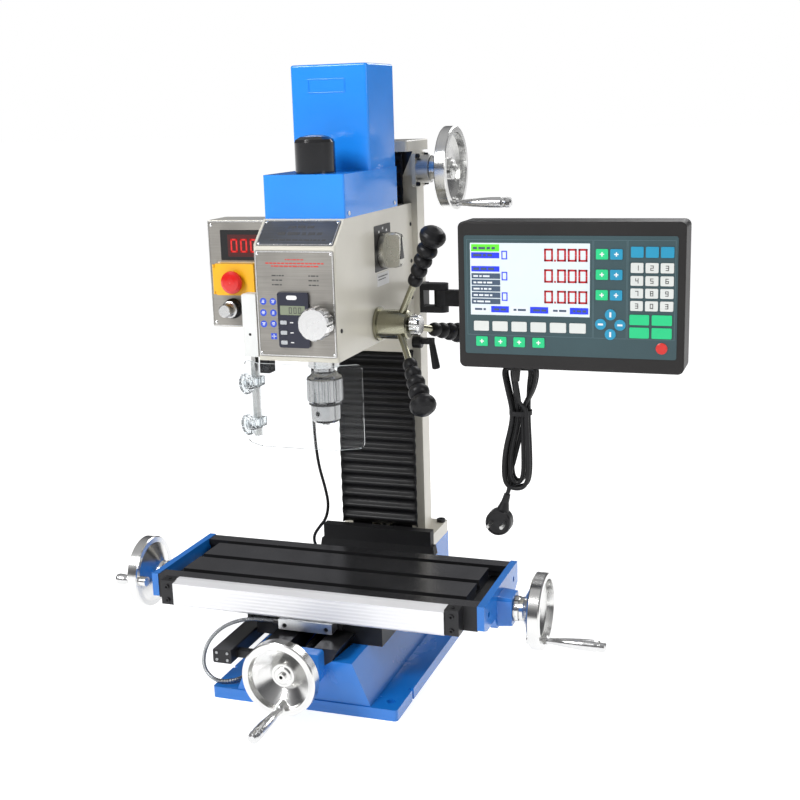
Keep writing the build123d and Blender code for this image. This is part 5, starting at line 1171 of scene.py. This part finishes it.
lead_black = coated("Lead black", (0.011, 0.011, 0.012), 0.40, 0.10, 900, 0.12)
plug_black = coated("Plug black", (0.014, 0.014, 0.015), 0.36, 0.10, 900, 0.12)
dress(
    "dro_plug", [plug_black, bearing_steel],
    lambda c, n: 1 if c.y < -77.5 and abs(c.z - 243) < 3 and abs(abs(c.x - 242) - 9.5) < 3 else 0, 0.5,
)
hank_layers = [-0.075, -0.069, -0.063, -0.057]
wide_loop = [
    (0.2825, 0.405), (0.2825, 0.385), (0.2845, 0.345), (0.2845, 0.308), (0.277, 0.2935), (0.257, 0.2935),
    (0.2500, 0.308), (0.2520, 0.345), (0.2625, 0.385), (0.2625, 0.405), (0.256, 0.432), (0.251, 0.4585),
]
slim_loop = [
    (0.2760, 0.405), (0.2760, 0.385), (0.2765, 0.345), (0.2765, 0.312), (0.2715, 0.300), (0.2625, 0.300),
    (0.2575, 0.312), (0.2590, 0.345), (0.2690, 0.385), (0.2690, 0.405), (0.265, 0.432), (0.261, 0.4580),
]
top_wide = [(0.262, 0.459), (0.284, 0.459), (0.2945, 0.4585), (0.291, 0.432)]
top_slim = [(0.270, 0.4585), (0.282, 0.4585), (0.2865, 0.4560), (0.283, 0.432)]
lead_points = [
    (0.272, -0.088, 0.445), (0.272, -0.088, 0.434), (0.2725, -0.0855, 0.423), (0.274, -0.0800, 0.413),
]
for number, y in enumerate(hank_layers):
    loop = slim_loop if number % 2 else wide_loop
    top = top_slim if number % 2 else top_wide
    for x, z in loop:
        lead_points.append((x, y, z))
    for step, (x, z) in enumerate(top):
        lead_points.append((x, y + 0.0015 * (step + 1), z))
lead_points += [
    (0.2785, -0.057, 0.405), (0.274, -0.058, 0.380), (0.267, -0.060, 0.350), (0.261, -0.062, 0.325),
    (0.256, -0.066, 0.308), (0.256, -0.066, 0.297), (0.2553, -0.066, 0.288), (0.253, -0.066, 0.282),
]
lead_cord = route("dro_cord", lead_points, 0.003, lead_black)
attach(lead_cord, "dro_console")
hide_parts("dro_lead", "dro_lead_hank")
lead_tie = bmesh.new()
for y0, y1, x0, x1 in ((-0.0795, -0.0525, 0.2578, 0.2872),):
    steps = 40
    for k in range(steps):
        a, b = 2 * math.pi * k / steps, 2 * math.pi * (k + 1) / steps
        ring = []
        for angle in (a, b):
            for radial, up in ((0, -0.003), (0, 0.003), (0.0008, 0.003), (0.0008, -0.003)):
                ring.append(lead_tie.verts.new((
                    (x0 + x1) / 2 + ((x1 - x0) / 2 + radial) * math.cos(angle),
                    (y0 + y1) / 2 + ((y1 - y0) / 2 + radial) * math.sin(angle),
                    0.398 + up,
                )))
        for j in range(4):
            lead_tie.faces.new((ring[j], ring[(j + 1) % 4], ring[4 + (j + 1) % 4], ring[4 + j]))
bmesh.ops.remove_doubles(lead_tie, verts=lead_tie.verts, dist=1e-6)
tie = piece_from("lead_tie", lead_tie, cable_black, "dro_console")

# ---- Floor, light and camera
# A plain pale floor, a large soft key from the upper left, a weaker fill and a rim light, as in a studio.
floor_mesh = bpy.data.meshes.new("floor")
floor_build = bmesh.new()
for corner in ((-40, -40, 0), (40, -40, 0), (40, 40, 0), (-40, 40, 0)):
    floor_build.verts.new(corner)
floor_build.verts.ensure_lookup_table()
floor_build.faces.new(floor_build.verts)
floor_build.to_mesh(floor_mesh)
floor_build.free()
floor = bpy.data.objects.new("floor", floor_mesh)
bpy.context.scene.collection.objects.link(floor)
floor_paint = coated("Floor", (0.60, 0.60, 0.60), 0.8, 0.0, 40, 0.0)
floor_shader = floor_paint.node_tree.nodes["Principled BSDF"]
floor_shader.inputs["Emission Color"].default_value = (1, 1, 1, 1)
floor_shader.inputs["Emission Strength"].default_value = 0.80
floor_shader.inputs["Specular IOR Level"].default_value = 0.0
floor_mesh.materials.append(floor_paint)

world = bpy.data.worlds.new("Studio")
world.use_nodes = True
sky = world.node_tree
studio_light = sky.nodes["Background"]
backdrop = sky.nodes.new("ShaderNodeBackground")
backdrop.inputs["Color"].default_value = (1.0, 1.0, 1.0, 1)
backdrop.inputs["Strength"].default_value = 1.0
room = sky.nodes.new("ShaderNodeTexCoord")
split = sky.nodes.new("ShaderNodeSeparateXYZ")
sky.links.new(room.outputs["Generated"], split.inputs["Vector"])
shade = sky.nodes.new("ShaderNodeValToRGB")
shade.color_ramp.elements[0].position = 0.40
shade.color_ramp.elements[0].color = (0.55, 0.55, 0.55, 1)
shade.color_ramp.elements[1].position = 1.0
shade.color_ramp.elements[1].color = (0.95, 0.95, 0.96, 1)
dark_band = shade.color_ramp.elements.new(0.56)
dark_band.color = (0.07, 0.07, 0.08, 1)
upper_band = shade.color_ramp.elements.new(0.74)
upper_band.color = (0.42, 0.42, 0.43, 1)
lift = sky.nodes.new("ShaderNodeMath")
lift.operation = "MULTIPLY_ADD"
lift.inputs[1].default_value = 0.5
lift.inputs[2].default_value = 0.5
sky.links.new(split.outputs["Z"], lift.inputs[0])
sky.links.new(lift.outputs[0], shade.inputs["Fac"])
sky.links.new(shade.outputs["Color"], studio_light.inputs["Color"])
studio_light.inputs["Strength"].default_value = 0.60
straight = sky.nodes.new("ShaderNodeLightPath")
either = sky.nodes.new("ShaderNodeMixShader")
sky.links.new(straight.outputs["Is Camera Ray"], either.inputs["Fac"])
sky.links.new(studio_light.outputs["Background"], either.inputs[1])
sky.links.new(backdrop.outputs["Background"], either.inputs[2])
sky.links.new(either.outputs["Shader"], sky.nodes["World Output"].inputs["Surface"])
bpy.context.scene.world = world


def lamp(name, place, target, size, watts, colour=(1, 1, 1)):
    """A square soft box aimed at a point."""
    light = bpy.data.lights.new(name, "AREA")
    light.size = size
    light.energy = watts
    light.color = colour
    item = bpy.data.objects.new(name, light)
    item.location = place
    item.rotation_euler = (Vector(target) - Vector(place)).to_track_quat("-Z", "Y").to_euler()
    bpy.context.scene.collection.objects.link(item)


lamp("key_light", (-1.1, -1.9, 2.1), (0, -0.05, 0.4), 1.0, 62)
lamp("fill_light", (2.1, -1.0, 1.3), (0, -0.05, 0.4), 0.8, 13)
lamp("rim_light", (0.6, 1.7, 1.8), (0, 0, 0.5), 1.2, 20)

azimuth, elevation, roll = math.radians(19.464), math.radians(12.936), math.radians(-1.680)
back = Vector((math.sin(azimuth) * math.cos(elevation), -math.cos(azimuth) * math.cos(elevation), math.sin(elevation)))
right = Vector((math.cos(azimuth), math.sin(azimuth), 0))
up = back.cross(right)
camera_x = right * math.cos(roll) + up * math.sin(roll)
camera_y = up * math.cos(roll) - right * math.sin(roll)
camera_data = bpy.data.cameras.new("camera")
camera_data.lens = 56.765
camera_data.sensor_width = 36
camera = bpy.data.objects.new("camera", camera_data)
camera.matrix_world = Matrix((
    (camera_x.x, camera_y.x, back.x, 0.66754), (camera_x.y, camera_y.y, back.y, -1.66740),
    (camera_x.z, camera_y.z, back.z, 0.79638), (0, 0, 0, 1),
))
bpy.context.scene.collection.objects.link(camera)
bpy.context.scene.camera = camera
bpy.context.scene.view_settings.view_transform = "Standard"
